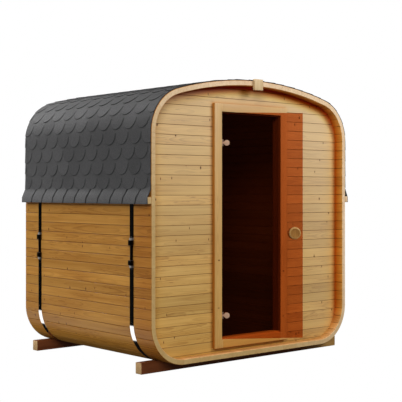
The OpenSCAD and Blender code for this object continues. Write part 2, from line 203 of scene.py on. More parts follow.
def makeMesh(name, points, faceSets, slots, attributes=None, sharp=32, merge=0.0):
    # points is n by 3; each face set is m by k corners with its material number
    mesh = bpy.data.meshes.new(name)
    sizes = np.concatenate([np.full(len(f), f.shape[1]) for f, _ in faceSets])
    loops = np.concatenate([f.ravel() for f, _ in faceSets])
    mesh.vertices.add(len(points))
    mesh.vertices.foreach_set("co", np.ascontiguousarray(points, np.float32).ravel())
    mesh.loops.add(len(loops))
    mesh.loops.foreach_set("vertex_index", loops.astype(np.int32))
    mesh.polygons.add(len(sizes))
    mesh.polygons.foreach_set("loop_start", (np.cumsum(sizes) - sizes).astype(np.int32))
    mesh.polygons.foreach_set("material_index", np.concatenate(
        [np.full(len(f), m) for f, m in faceSets]).astype(np.int32))
    mesh.update(calc_edges=True)
    for key, values in (attributes or {}).items():
        writeAttribute(mesh, key, values)
    tidyMesh(mesh, merge)
    return place(name, mesh, slots, sharp)


def writeAttribute(mesh, key, values):
    values = np.asarray(values, np.float32)
    kind, field = ("FLOAT_VECTOR", "vector") if values.ndim == 2 else ("FLOAT", "value")
    mesh.attributes.new(key, kind, "POINT").data.foreach_set(field, values.ravel())


def tidyMesh(mesh, merge):
    # joins points that meet, when asked, and drops points without a face
    bm = bmesh.new()
    bm.from_mesh(mesh)
    if merge:
        bmesh.ops.remove_doubles(bm, verts=bm.verts, dist=merge)
    bmesh.ops.delete(bm, geom=[v for v in bm.verts if not v.link_faces], context="VERTS")
    bm.to_mesh(mesh)
    bm.free()


def place(name, mesh, slots, sharp):
    for material in slots:
        mesh.materials.append(material)
    mesh.polygons.foreach_set("use_smooth", np.ones(len(mesh.polygons), bool))
    mesh.set_sharp_from_angle(angle=math.radians(sharp))
    piece = bpy.data.objects.new(name, mesh)
    bpy.context.scene.collection.objects.link(piece)
    return piece


def fit(piece, body, slot, *replaced):
    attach(piece, body)
    if replaced:
        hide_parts(*replaced)
    return piece


def ring(count):
    # corner numbers of a closed ring and of the same ring moved on by one
    a = np.arange(count)
    return a, (a + 1) % count


# ---- wood

timber = {
    "boardWidth": 0.079,      # cover width of a stave and of a wall board
    "ringWidth": 0.0046,      # spacing of the growth rings
    "seed": 41,
}
rng = np.random.default_rng(timber["seed"])


def woodMaterial(name, pale, deep, late, rough=0.46, endGrain=False, knots=0.0, ringMix=0.34, paintedTopLight=0.0, crossTone=False, paintedFrontShade=0.0, shadeBy=None, flecks=0.0):
    # growth rings are circles round a pith line that runs along the board, bent a
    # little by noise, so a face shows long streaks and an end shows arcs
    g = Graph(name)
    x, y, z = g.parts(g.add("ShaderNodeTexCoord", output="Object"))
    along, across, depth = g.parts(g.attribute("grain", "Vector"))
    tone = g.attribute("tone")
    joint = g.attribute("joint")
    slow = g.join(along * 0.55, across * 7.0, depth * 7.0)
    bend = g.noise(slow, 1.0, 2.0)
    sway = g.noise(g.join(along * 1.7, across * 3.0, depth * 3.0 + 7.3), 1.0, 1.0)
    a = across + (bend - 0.5) * 0.034
    d = depth + (sway - 0.5) * 0.03
    reach = (a * a + d * d).math("SQRT")
    growth = (reach / timber["ringWidth"]).math("FRACT")
    lateWood = g.ramp(growth, 0.35, 0.92) * (1 - g.ramp(growth, 0.93, 1.0))
    fibre = g.noise(g.join(along * 3.0, across * 260.0, depth * 260.0), 1.0, 3.0, 0.6)
    streak = g.noise(g.join(along * 0.9, across * 34.0, depth * 34.0), 1.0, 3.0, 0.55)
    patch = g.noise(g.join(along * 1.4, across * 5.0, depth * 5.0), 1.0, 2.0)
    body = g.blend(g.ramp(streak * 0.6 + patch * 0.4, 0.3, 0.72), colour(*pale), colour(*deep))
    body = g.blend(lateWood * ringMix * g.ramp(patch, 0.25, 0.7), body, colour(*late))
    body = g.blend((fibre - 0.35) * 0.35, body, colour(*late))
    # short dark flecks along the grain
    fleck = g.noise(g.join(along * 11.0 + 3.1, across * 120.0, depth * 120.0), 1.0, 2.0)
    body = g.blend(g.ramp(fleck, 0.60, 0.72) * g.ramp(patch, 0.40, 0.62) * flecks, body, colour(late[0] * 0.8, late[1] * 0.6, late[2] * 0.5))
    shade = 0.89 + tone * 0.22
    if crossTone:
        # end grain is paler towards the top and the right
        shade = 0.83 + g.ramp(x * 0.42 + z * 0.5 + 0.02, 0.0, 1.0) * 0.41
    cool = (shade * 1.18 - 0.195, shade * 2.2 - 1.25) if crossTone else (shade * 0.985 + 0.01, shade * 0.96 + 0.03)
    body = g.blend(1.0, body, g.join(shade, *cool), "MULTIPLY")
    if paintedTopLight:
        # painted light: the boards are paled towards the top and towards the right
        body = g.blend((g.ramp(z, 0.3, 2.4) + g.ramp(x, 0.1, 1.1) * 0.5) * paintedTopLight, body, colour(0.80, 0.70, 0.545))
    bump = fibre * 0.25 + lateWood * 0.3
    if knots:
        # knots are short upright ellipses round the points of two scattered grids
        for cell, size, tall, seed, share in ((0.11, 0.0072, 2.6, 3.1, knots), (0.23, 0.0125, 1.7, 8.7, knots * 0.6)):
            where = g.join(along / cell + seed, across / (cell * tall), 0.0)
            spot = g.add("ShaderNodeTexVoronoi", {"voronoi_dimensions": "2D", "feature": "F1"},
                         {"Vector": where, "Scale": 1.0, "Randomness": 0.75}).out.node
            pick, grade, _ = g.parts(Socket(g, spot.outputs["Color"]))
            wide = size / cell * (0.45 + grade * 0.8)
            near = Socket(g, spot.outputs["Distance"]) / wide
            chosen = pick.math("LESS_THAN", share)
            core = (1 - g.ramp(near, 0.55, 1.0)) * chosen
            halo = (1 - g.ramp(near, 0.6, 1.9)) * chosen
            body = g.blend(halo * 0.5, body, colour(late[0] * 0.8, late[1] * 0.55, late[2] * 0.4))
            body = g.blend(core * 0.95, body, colour(0.05, 0.016, 0.005))
    if endGrain:
        crack = g.noise(g.join(along * 2, across * 90.0, depth * 90.0), 1.0, 3.0)
        body = g.blend(g.ramp(crack, 0.45, 0.75) * 0.3, body, colour(*late))
    if paintedFrontShade:
        # painted shade: the staves darken towards their front ends, and towards the foot their blue is cut, standing in
        # for how light falls there
        body = g.blend((1 - g.ramp(y, shellY0 + 0.10, shellY0 + 0.34)) * paintedFrontShade, body, colour(0.87, 0.74, 0.60), "MULTIPLY")
        body = g.blend((1 - g.ramp(z, seatZ + 0.10, footCz)) * paintedFrontShade, body, colour(1.04, 0.98, 0.66), "MULTIPLY")
    if shadeBy:
        body = g.blend(1.0, body, g.join(*shadeBy(g, x, y, z)), "MULTIPLY")
    body = g.blend(joint * 0.80, body, colour(0.12, 0.034, 0.007))
    normal = g.add("ShaderNodeBump", {}, {"Strength": 0.22, "Distance": 0.0006, "Height": bump})
    gloss = rough + (streak - 0.5) * 0.12 + joint * 0.3
    return g.finish(g.add("ShaderNodeBsdfPrincipled", {}, {
        "Base Color": body, "Roughness": gloss, "Normal": normal, "Specular IOR Level": 0.30}))


wallLine = {
    "frame": 0.012,       # reach of the painted shade beside the door frame
    "green": 0.030,       # reach of the painted shade along the wall's edge, for green and for blue
    "blue": 0.050,
}


def insideCabin(g, y):
    # 1 between the two end walls and 0 outside them
    return y.math("GREATER_THAN", frontHi.y - 0.0015) * y.math("LESS_THAN", wallLo.y + 0.0015)


def withPaintedInsideShade(g, y, z, outside):
    # the multipliers given, but between the end walls painted shade: one dark brown, darker towards the floor
    inside = insideCabin(g, y)
    dark = 0.12 + g.ramp(z, 0.2, 1.5) * 0.13
    return tuple(o + (dark * share - o) * inside for o, share in zip(outside, (1.0, 0.78, 0.65)))


def wallPaintedShade(g, x, y, z):
    # painted shade: the wood is darkened and reddened towards the corner where a wall
    # meets the staves: each channel is 1 - strength * exp(-distance / reach), the distance
    # taken to the inner line of the staves, which is an arch, two upper and two lower corner arcs
    side = x.math("ABSOLUTE")
    up = z - shoulderCz
    over = side - (halfW - shoulderR)
    arch = (archR - staveT) - ((x * x) + (z - archCz) * (z - archCz)).math("SQRT")
    ox, oz = over.math("MAXIMUM", 0.0), up.math("MAXIMUM", 0.0)
    corner = (shoulderR - staveT) - (ox * ox + oz * oz).math("SQRT")
    inCorner = over.math("GREATER_THAN", up * math.tan(topTilt))
    upper = arch + (corner - arch) * inCorner
    fx, fz = (side - footCx).math("MAXIMUM", 0.0), (footCz - z).math("MAXIMUM", 0.0)
    lower = (footR - staveT) - (fx * fx + fz * fz).math("SQRT")
    away = upper.math("MINIMUM", lower).math("MAXIMUM", 0.0)
    high = g.ramp(z, shoulderCz, crownZ - 0.15) * (0.25 + g.ramp(x, -0.80, -0.35) * 0.75)
    low = g.ramp(z, footCz, footCz * 0.4)
    green = (0 - away / wallLine["green"]).math("EXPONENT") * (0.72 - low * 0.62)
    blue = (0 - away / wallLine["blue"]).math("EXPONENT") * (0.97 - low * 0.62)
    # under the arch the painted shade band is wider and its edge steeper
    green = green + ((1 - g.ramp(away, 0.005, 0.085)) * 0.92 - green) * high
    blue = blue + ((1 - g.ramp(away, 0.020, 0.110)) - blue) * high
    # the same painted shade beside the door frame, nearer in
    bx = (side - jambHi.x).math("MAXIMUM", 0.0)
    bz = (z - jambHi.z).math("MAXIMUM", 0.0)
    beside = (0 - (bx * bx + bz * bz).math("SQRT") / wallLine["frame"]).math("EXPONENT") * y.math("LESS_THAN", 0.5)
    beside = beside * g.ramp(z, sillLo.z - 0.002, sillLo.z + 0.010)
    # on the rear wall all this painted shade is fainter
    mild = 1 - y.math("GREATER_THAN", 0.5) * 0.35
    green, blue = green * mild, blue * mild
    return withPaintedInsideShade(g, y, z, (1 - beside * 0.24 - green * 0.15, (1 - green) * (1 - beside * 0.52),
                                (1 - blue) * (1 - beside * 0.80)))


def innerPaintedShade(g, x, y, z):
    # painted shade on the inner faces of the staves: palest at the open ends, darkest and reddest where they reach a
    # wall, and painted light on the low stretch over the floor
    front = (frontLo.y - y) / (frontLo.y - shellY0)
    rear = (y - wallHi.y) / (shellY1 - wallHi.y)
    out = front.math("MAXIMUM", rear).math("MAXIMUM", 0.0).math("MINIMUM", 1.0)
    low = 1 - g.ramp(z, footCz * 0.35, footCz)
    green = 0.29 + out * 0.64
    blue = 0.07 + out * out * 0.62
    pale = low * out * out
    mild = y.math("GREATER_THAN", 0.5)
    green, blue = green + (0.8 - green) * mild * 0.4, blue + (0.6 - blue) * mild * 0.4
    return withPaintedInsideShade(g, y, z, (0.96 + out * 0.28 + pale * 0.14, (green + (0.78 - green) * low + pale * 0.42) * (1 + out * 0.16),
                                (blue + (0.62 - blue) * low + pale * 1.1) * (1 + out * 0.16)))


def framePaintedShade(g, x, y, z):
    # painted shade: the sides of the door frame are darker and redder than its face,
    # and the rebate behind the glass is painted dark
    side = g.ramp(y, frameY + 0.002, frameY + 0.010)
    rebate = g.ramp(y, frameY + 0.007, frameY + 0.012) * x.math("ABSOLUTE").math("LESS_THAN", jambLo.x + 0.0165)
    rebate = rebate * z.math("GREATER_THAN", sillHi.z) * z.math("LESS_THAN", headLo.z + 0.0125)
    return (1 - side * 0.2 - rebate * 0.60, 1 - side * 0.5 - rebate * 0.38, 1 - side * 0.8 - rebate * 0.12)


def skidShade(g, x, y, z):
    # a skid is paler towards its right end: the multipliers rise over its last third
    pale = g.ramp(x, 0.60, 0.93)
    return (1 + pale * 1.9, 1 + pale * 4.6, 1 + pale * 4.2)


jambLo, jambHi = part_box("door_jamb_right")
headLo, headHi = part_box("door_head")
sillLo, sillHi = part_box("door_sill")
frameY = jambLo.y
staveFace = woodMaterial("stave_face", (0.600, 0.302, 0.064), (0.455, 0.198, 0.032), (0.22, 0.070, 0.010), knots=0.26, ringMix=0.46, paintedFrontShade=1.0, flecks=0.55)
staveEnd = woodMaterial("stave_end", (0.72, 0.53, 0.30), (0.62, 0.42, 0.21), (0.46, 0.28, 0.12), 0.6, True, ringMix=0.25, crossTone=True)
wallFace = woodMaterial("wall_face", (0.70, 0.440, 0.136), (0.57, 0.320, 0.080), (0.30, 0.120, 0.020), ringMix=0.42, knots=0.40, paintedTopLight=0.30, shadeBy=wallPaintedShade, flecks=0.6)
innerFace = woodMaterial("inner_face", (0.66, 0.40, 0.130), (0.55, 0.30, 0.080), (0.35, 0.15, 0.030), shadeBy=innerPaintedShade)
# painted light: the sill is the casing's wood, given its own more orange colour to stand in for the light that falls on
# it
sillPaintedLightFace = woodMaterial("sill_painted_light_face", (0.66, 0.325, 0.070), (0.56, 0.250, 0.048), (0.38, 0.140, 0.022))
casingFace = woodMaterial("casing_face", (0.70, 0.415, 0.128), (0.59, 0.325, 0.090), (0.38, 0.167, 0.034), knots=0.20, paintedTopLight=0.18, shadeBy=framePaintedShade, flecks=0.3)
trimFace = woodMaterial("trim_face", (0.76, 0.58, 0.34), (0.68, 0.48, 0.25), (0.50, 0.31, 0.13))
skidFace = woodMaterial("skid_face", (0.21, 0.064, 0.021), (0.145, 0.040, 0.012), (0.080, 0.018, 0.005), shadeBy=skidShade)
skidEnd = woodMaterial("skid_end", (0.62, 0.42, 0.21), (0.50, 0.30, 0.13), (0.30, 0.15, 0.05), 0.6, True, ringMix=0.4)
knobFace = woodMaterial("knob_face", (0.42, 0.20, 0.050), (0.25, 0.10, 0.022), (0.07, 0.024, 0.007), 0.36, True, ringMix=0.75)
knobRim = woodMaterial("knob_rim", (0.54, 0.31, 0.105), (0.42, 0.22, 0.062), (0.24, 0.11, 0.03), 0.36)
print("wood materials made")


# ---- staves of the shell

stave = {
    "width": timber["boardWidth"],
    "jointAt": 1.216,        # height of one joint in the sides
    "bevel": 0.0034,         # chamfer along each joint
    "endBevel": 0.003,       # chamfer round the ends
    "gap": 0.00025,
    "steps": 5,              # facets across the outer face
}


def staveJoints():
    # joints follow each other at one width from the height given; both ends of
    # the half line fall inside a stave that the two halves share
    start = stretches[1] + (stave["jointAt"] - footCz)
    first = start % stave["width"]
    if first < 0.3 * stave["width"]:
        first += stave["width"]
    half = np.arange(first, halfLine - 0.3 * stave["width"], stave["width"])
    lows = np.concatenate([half[:-1], [-half[0], half[-1]]])
    highs = np.concatenate([half[1:], [half[0], 2 * halfLine - half[-1]]])
    return (np.concatenate([lows, -half[1:]]), np.concatenate([highs, -half[:-1]]))


def crozeStations():
    # places along a stave where its section changes: ends, chamfers and both grooves
    e, play = stave["endBevel"], 0.0005
    groove = [frontLo.y - play, frontHi.y + play, wallLo.y - play, wallHi.y + play]
    ys = [shellY0, shellY0 + e, groove[0], groove[0], groove[1], groove[1],
          groove[2], groove[2], groove[3], groove[3], shellY1 - e, shellY1]
    inset = [e, 0, 0, 0, 0, 0, 0, 0, 0, 0, 0, e]
    cut = [0, 0, 0, crozeDepth, crozeDepth, 0, 0, crozeDepth, crozeDepth, 0, 0, 0]
    return np.array(ys), np.array(inset), np.array(cut)


def staveBlock(name, lows, highs):
    # a stave is its cross section, in distance along the outer line and depth
    # under it, carried from end to end; depth is measured along the line's normal
    lows, highs = lows + stave["gap"], highs - stave["gap"]
    bevel, steps = stave["bevel"], np.linspace(0, 1, stave["steps"] + 1)
    ys, inset, cut = crozeStations()
    outer = lows[:, None] + bevel + steps * (highs - lows - 2 * bevel)[:, None]
    s = np.concatenate([lows[:, None], outer, highs[:, None],
                        highs[:, None], outer[:, ::-1], lows[:, None]], 1)
    n = len(steps)
    d = np.concatenate([[bevel], np.zeros(n), [bevel], [staveT - bevel], np.full(n, staveT), [staveT - bevel]])
    joint = np.concatenate([[1.0], np.zeros(n), [1.0, 1.0], np.zeros(n), [1.0]])
    depth = np.minimum(d[None, :], (staveT - cut)[:, None])
    depth = np.clip(depth, inset[:, None], staveT - inset[:, None])
    mid = (s.min(1) + s.max(1))[:, None] / 2
    sAll = np.broadcast_to(s[:, None, :], (len(s), len(ys), s.shape[1]))
    x, z, nx, nz = outerLine(np.where(sAll > halfLine, sAll - 2 * halfLine, sAll))
    px, pz = x - depth[None] * nx, z - depth[None] * nz
    py = np.broadcast_to(ys[None, :, None], px.shape)
    points = np.stack([px, py, pz], -1).reshape(-1, 3)
    count, stations, size = px.shape
    a, b = ring(size)
    rows = np.arange(stations - 1)[:, None] * size
    quads = np.stack([rows + a, rows + size + a, rows + size + b, rows + b], -1).reshape(-1, 4)
    base = (np.arange(count) * stations * size)[:, None, None]
    sides = (quads[None] + base).reshape(-1, 4)
    ends = np.stack([a, (stations - 1) * size + a[::-1]])
    caps = (ends[None] + base).reshape(-1, size)
    shift = np.stack([rng.uniform(-40, 40, count), rng.uniform(-0.03, 0.03, count),
                      rng.uniform(0.03, 0.12, count)], -1)[:, None, None, :]
    grain = np.stack([py, sAll - mid[:, None], np.broadcast_to(depth[None], px.shape)], -1) + shift
    tone = np.broadcast_to(rng.uniform(0, 1, count)[:, None, None], px.shape)
    dark = joint[None, None, :] * (inset == 0)[None, :, None] * np.ones(px.shape)
    inside = np.tile(np.arange(size) >= n + 2, count * (stations - 1))
    return makeMesh(name, points, [(sides[~inside], 0), (sides[inside], 2), (caps, 1)], [staveFace, staveEnd, innerFace],
                    {"grain": grain.reshape(-1, 3), "tone": tone.ravel(), "joint": dark.ravel()})


lows, highs = staveJoints()
middle = (lows + highs) / 2
a = np.abs(middle)
regions = {
    "floor_boards": (a < stretches[0], "floor_staves"),
    "lower_right_corner_boards": ((middle > 0) & (a >= stretches[0]) & (a < stretches[1]), "lower_right_corner_staves"),
    "lower_left_corner_boards": ((middle < 0) & (a >= stretches[0]) & (a < stretches[1]), "lower_left_corner_staves"),
    "right_side_boards": ((middle > 0) & (a >= stretches[1]) & (a < stretches[2]), "right_side_staves"),
    "left_side_boards": ((middle < 0) & (a >= stretches[1]) & (a < stretches[2]), "left_side_staves"),
    "upper_right_corner_boards": ((middle > 0) & (a >= stretches[2]) & (a < stretches[3]), "upper_right_corner_staves"),
    "upper_left_corner_boards": ((middle < 0) & (a >= stretches[2]) & (a < stretches[3]), "upper_left_corner_staves"),
    "roof_boards_right": ((middle > 0) & (a >= stretches[3]), "roof_staves_right"),
    "roof_boards_left": ((middle < 0) & (a >= stretches[3]), "roof_staves_left"),
}
for name, (chosen, node) in regions.items():
    fit(staveBlock(name, lows[chosen], highs[chosen]), "cabin", "stave_side", node)
print("staves made:", len(lows))


# ---- end walls

wall = {
    "jointAt": 0.109,       # height of one joint
    "bevel": 0.0026,
    "gap": 0.00025,
}
grooveDepth = 0.010
holeX = jambHi.x - grooveDepth
holeZ = (jambLo.z + grooveDepth, jambHi.z - grooveDepth)


def wallTop(x):
    # height of the wall's upper edge: the arch, then the corner arc
    x = np.abs(x)
    over = np.sqrt(np.maximum((archR - wallInset) ** 2 - x ** 2, 0)) + archCz
    corner = np.sqrt(np.maximum((shoulderR - wallInset) ** 2 - np.maximum(x - halfW + shoulderR, 0) ** 2, 0)) + shoulderCz
    return np.where(x < (archR - wallInset) * math.sin(topTilt), over, corner)


def wallFoot(x):
    # height of the wall's lower edge: flat, then the lower corner arc
    x = np.abs(x)
    return footCz - np.sqrt(np.maximum((footR - wallInset) ** 2 - np.maximum(x - footCx, 0) ** 2, 0))


def wallBoards(name, y0, y1, zFrom, zTo, xFrom, xTo, hole, *replaced):
    # every board is a grid of columns and six levels in two layers; levels are
    # held inside the wall's outline and cells in the door's hole are left out
    w, bevel = timber["boardWidth"], wall["bevel"]
    first = wall["jointAt"] + w * math.floor((zFrom - wall["jointAt"]) / w + 1e-6)
    joints = np.arange(first, zTo - 1e-6, w)
    lo, hi = np.maximum(joints, zFrom) + wall["gap"], np.minimum(joints + w, zTo) - wall["gap"]
    # columns crowd towards the rounded corners
    flat, tight = np.linspace(0, footCx * 0.9, 12), halfW - wallInset - (halfW - wallInset - footCx * 0.9) * np.cos(np.linspace(0, math.pi / 2, 16)) ** 1.0
    half = np.unique(np.round(np.concatenate([flat, tight, [holeX]]), 6))
    columns = np.concatenate([-half[:0:-1], half])
    columns = columns[(columns >= xFrom - 1e-6) & (columns <= xTo + 1e-6)]
    third = (hi - lo) / 3
    levels = np.stack([lo, lo + bevel, lo + third, hi - third, hi - bevel, hi], 1)
    if hole:
        for edge in holeZ:
            cuts = (lo < edge) & (hi > edge)
            column = np.where(edge < (lo + hi) / 2, 2, 3)
            levels[cuts, column[cuts]] = edge
    depth = np.array([bevel, 0, 0, 0, 0, bevel])
    joint = np.array([1.0, 0, 0, 0, 0, 1.0])
    z = np.clip(levels[:, :, None], wallFoot(columns), wallTop(columns))
    x = np.broadcast_to(columns, z.shape)
    count, rows, cols = z.shape
    # no chamfer along the outline, and no cells where it leaves them without height
    dy = np.where(np.abs(z - levels[:, :, None]) < 1e-7, depth[None, :, None], 0.0)
    tall = z[:, 1:] - z[:, :-1] > 1e-6
    points = np.stack([np.stack([x, y0 + dy, z], -1), np.stack([x, y1 - dy, z], -1)], 1)
    number = np.arange(count * 2 * rows * cols).reshape(count, 2, rows, cols)
    midX = (columns[1:] + columns[:-1]) / 2
    midZ = (levels[:, 1:] + levels[:, :-1]) / 2
    solid = tall[:, :, 1:] | tall[:, :, :-1]
    if hole:
        solid &= ~((np.abs(midX)[None, None, :] < holeX) & (midZ > holeZ[0])[:, :, None] & (midZ < holeZ[1])[:, :, None])

    def corners(layer, flip):
        f = number[:, layer]
        order = [f[:, :-1, :-1], f[:, :-1, 1:], f[:, 1:, 1:], f[:, 1:, :-1]]
        return np.stack(order[::-1] if flip else order, -1)[solid]

    padded = np.pad(solid, ((0, 0), (1, 1), (1, 1)))
    faces = [corners(0, False), corners(1, True)]
    front, back = number[:, 0], number[:, 1]
    edgeUp = solid & ~padded[:, 2:, 1:-1]
    edgeDown = solid & ~padded[:, :-2, 1:-1]
    edgeRight = solid & ~padded[:, 1:-1, 2:]
    edgeLeft = solid & ~padded[:, 1:-1, :-2]
    faces.append(np.stack([front[:, 1:, :-1], front[:, 1:, 1:], back[:, 1:, 1:], back[:, 1:, :-1]], -1)[edgeUp])
    faces.append(np.stack([front[:, :-1, 1:], front[:, :-1, :-1], back[:, :-1, :-1], back[:, :-1, 1:]], -1)[edgeDown])
    faces.append(np.stack([front[:, :-1, 1:], back[:, :-1, 1:], back[:, 1:, 1:], front[:, 1:, 1:]], -1)[edgeRight])
    faces.append(np.stack([front[:, 1:, :-1], back[:, 1:, :-1], back[:, :-1, :-1], front[:, :-1, :-1]], -1)[edgeLeft])
    shape = (count, 2, rows, cols)
    seed = np.random.default_rng(int(1000 * y0) % 97 + 5)
    allJoints = np.round((lo - wall["jointAt"]) / w).astype(int) + 8
    shift = np.stack([seed.uniform(-40, 40, 48), seed.uniform(-0.03, 0.03, 48), seed.uniform(0.03, 0.12, 48)], -1)[allJoints]
    shift = shift + np.array([0.37 if xFrom > 0 else 0.0, 0.0, 0.0])
    middleZ = ((lo + hi) / 2)[:, None, None, None]
    grain = np.stack([points[..., 0], points[..., 2] - middleZ, points[..., 1] - y0], -1) + shift[:, None, None, None, :]
    tone = np.broadcast_to(seed.uniform(0, 1, 48)[allJoints][:, None, None, None], shape)
    dark = np.broadcast_to(joint[None, None, :, None], shape)
    piece = makeMesh(name, points.reshape(-1, 3), [(np.concatenate(faces), 0)], [wallFace],
                     {"grain": grain.reshape(-1, 3), "tone": tone.ravel(), "joint": dark.ravel()}, merge=0.00004)
    return fit(piece, "cabin", "wall_boards", *replaced)


underHi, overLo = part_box("front_wall_under_door")[1].z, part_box("front_wall_over_door")[0].z
edge = halfW - wallInset
wallBoards("wall_boards_left", frontLo.y, frontHi.y, underHi, overLo, -edge, -holeX, False, "front_wall_left")
wallBoards("wall_boards_right", frontLo.y, frontHi.y, underHi, overLo, holeX, edge, False, "front_wall_right")
wallBoards("wall_boards_over_door", frontLo.y, frontHi.y, overLo, wallHi.z, -edge, edge, True, "front_wall_over_door")
wallBoards("wall_boards_under_door", frontLo.y, frontHi.y, wallLo.z, underHi, -edge, edge, True, "front_wall_under_door")
wallBoards("rear_wall_boards", wallLo.y, wallHi.y, wallLo.z, wallHi.z, -edge, edge, False, "rear_wall")
print("end walls made")


# ---- sawn timber with eased edges


def easedCopy(name, node, ease, material, axis, slot, body="cabin", ends=None, segments=2):
    # the node's own solid with its edges rounded; grain runs along the axis given
    bm = bmesh.new()
    bm.from_mesh(nodes[node].data)
    bmesh.ops.remove_doubles(bm, verts=bm.verts, dist=0.00002)
    bmesh.ops.dissolve_limit(bm, angle_limit=math.radians(0.6), verts=bm.verts, edges=bm.edges)
    sharpEdges = [e for e in bm.edges if len(e.link_faces) == 2 and e.calc_face_angle(0) > math.radians(40)]
    bmesh.ops.bevel(bm, geom=sharpEdges, offset=ease, segments=segments, profile=0.6, affect="EDGES",
                    clamp_overlap=True, harden_normals=False)
    mesh = bpy.data.meshes.new(name)
    bm.to_mesh(mesh)
    bm.free()
    mesh.materials.clear()
    co = np.zeros(len(mesh.vertices) * 3)
    mesh.vertices.foreach_get("co", co)
    co = co.reshape(-1, 3)
    middle = (co.min(0) + co.max(0)) / 2
    order = {"x": [0, 2, 1], "y": [1, 0, 2], "z": [2, 0, 1]}[axis]
    shift = np.array([rng.uniform(-40, 40), rng.uniform(-0.02, 0.02), rng.uniform(0.05, 0.1)])
    writeAttribute(mesh, "grain", (co - middle)[:, order] + shift)
    writeAttribute(mesh, "tone", np.full(len(co), rng.uniform(0.3, 0.7)))
    writeAttribute(mesh, "joint", np.zeros(len(co)))
    if ends is not None:
        normal = np.zeros(len(mesh.polygons) * 3)
        mesh.polygons.foreach_get("normal", normal)
        endFaces = np.abs(normal.reshape(-1, 3)[:, order[0]]) > 0.9
        mesh.polygons.foreach_set("material_index", endFaces.astype(np.int32))
    piece = place(name, mesh, [material] + ([ends] if ends else []), 40)
    return fit(piece, body, slot, node)


easedCopy("casing_left", "door_jamb_left", 0.003, casingFace, "z", "door_frame", ends=staveEnd)
easedCopy("casing_right", "door_jamb_right", 0.003, casingFace, "z", "door_frame", ends=staveEnd)
easedCopy("casing_head", "door_head", 0.002, casingFace, "x", "door_frame", ends=staveEnd)
easedCopy("casing_sill", "door_sill", 0.002, sillPaintedLightFace, "x", "door_frame", ends=staveEnd)
easedCopy("cradle_front", "skid_front", 0.004, skidFace, "x", "skid_wood", ends=skidEnd)
easedCopy("cradle_rear", "skid_rear", 0.004, skidFace, "x", "skid_wood", ends=skidEnd)
easedCopy("eaves_strip_left", "eaves_batten_left", 0.002, trimFace, "y", "trim_wood", ends=staveEnd)
easedCopy("eaves_strip_right", "eaves_batten_right", 0.002, trimFace, "y", "trim_wood", ends=staveEnd)
easedCopy("crown_block_front", "ridge_block_front", 0.003, trimFace, "z", "trim_wood", ends=staveEnd)
easedCopy("crown_block_rear", "ridge_block_rear", 0.003, trimFace, "z", "trim_wood", ends=staveEnd)
print("frame, cradles and strips made")


# ---- shingles

shingle = {
    "tab": 0.167,          # width of one tab
    "show": 0.118,         # height that each course shows
    "slit": 0.092,         # depth of the notch between two tabs
    "thin": 0.0058,        # height of the covered part of a tab
    "ease": 0.0012,        # how far the edge is worn down
    "rim": (0.0012, 0.005),
    "round": 2.1,          # roundness of a tab's end
    "columns": 10,         # points across one tab
    "start": 0.03,         # from the front edge to the middle of the first tab
    "lean": 0.27,          # how far the lowest slits lean forwards, for each metre up
    "back": 0.035,         # how far the lowest course is set back
    "upright": 0.10,       # length at either end over which that lean fades
}
coverLo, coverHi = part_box("roof_covering_right")
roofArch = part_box("roof_covering_arch")
battenLo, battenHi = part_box("eaves_batten_right")
coverT = roofArch[1].z - crownZ
coverY0, coverY1 = coverLo.y, coverHi.y
flareTop = battenHi.z + 0.060


def coverLine(steps=900):
    # the line under the covering, from the eaves up to the crown: down over the
    # strip, out along the flare, then the shell's own outer line; returned with
    # its running length, position and normal
    s = np.linspace(stretches[1] + (flareTop - footCz), halfLine, steps)
    x, z, nx, nz = outerLine(s)
    outX = battenHi.x
    x = np.concatenate([[outX, outX], x])
    z = np.concatenate([[coverLo.z, battenHi.z], z])
    step = np.hypot(np.diff(x), np.diff(z))
    run = np.concatenate([[0], np.cumsum(step)])
    even = np.arange(0, run[-1], 0.002)
    px, pz = np.interp(even, run, x), np.interp(even, run, z)
    # the bends are eased over 24 mm so that the sheet curves round them
    kernel = np.ones(9) / 9
    def eased(v):
        return np.convolve(np.pad(v, 4, mode="reflect", reflect_type="odd"), kernel, "valid")
    tx, tz = np.gradient(px), np.gradient(pz)
    length = np.hypot(tx, tz)
    ex, ez = eased(tz / length), eased(-tx / length)
    size = np.hypot(ex, ez)
    return even, px, pz, ex / size, ez / size


coverRun, coverX, coverZ, coverNx, coverNz = coverLine()
coverEnd = float(coverRun[-1])


def onCover(run, lift):
    # point at a distance along the covering line, lifted along its normal
    x, z = np.interp(run, coverRun, coverX), np.interp(run, coverRun, coverZ)
    nx, nz = np.interp(run, coverRun, coverNx), np.interp(run, coverRun, coverNz)
    size = np.hypot(nx, nz)
    return x + lift * nx / size, z + lift * nz / size


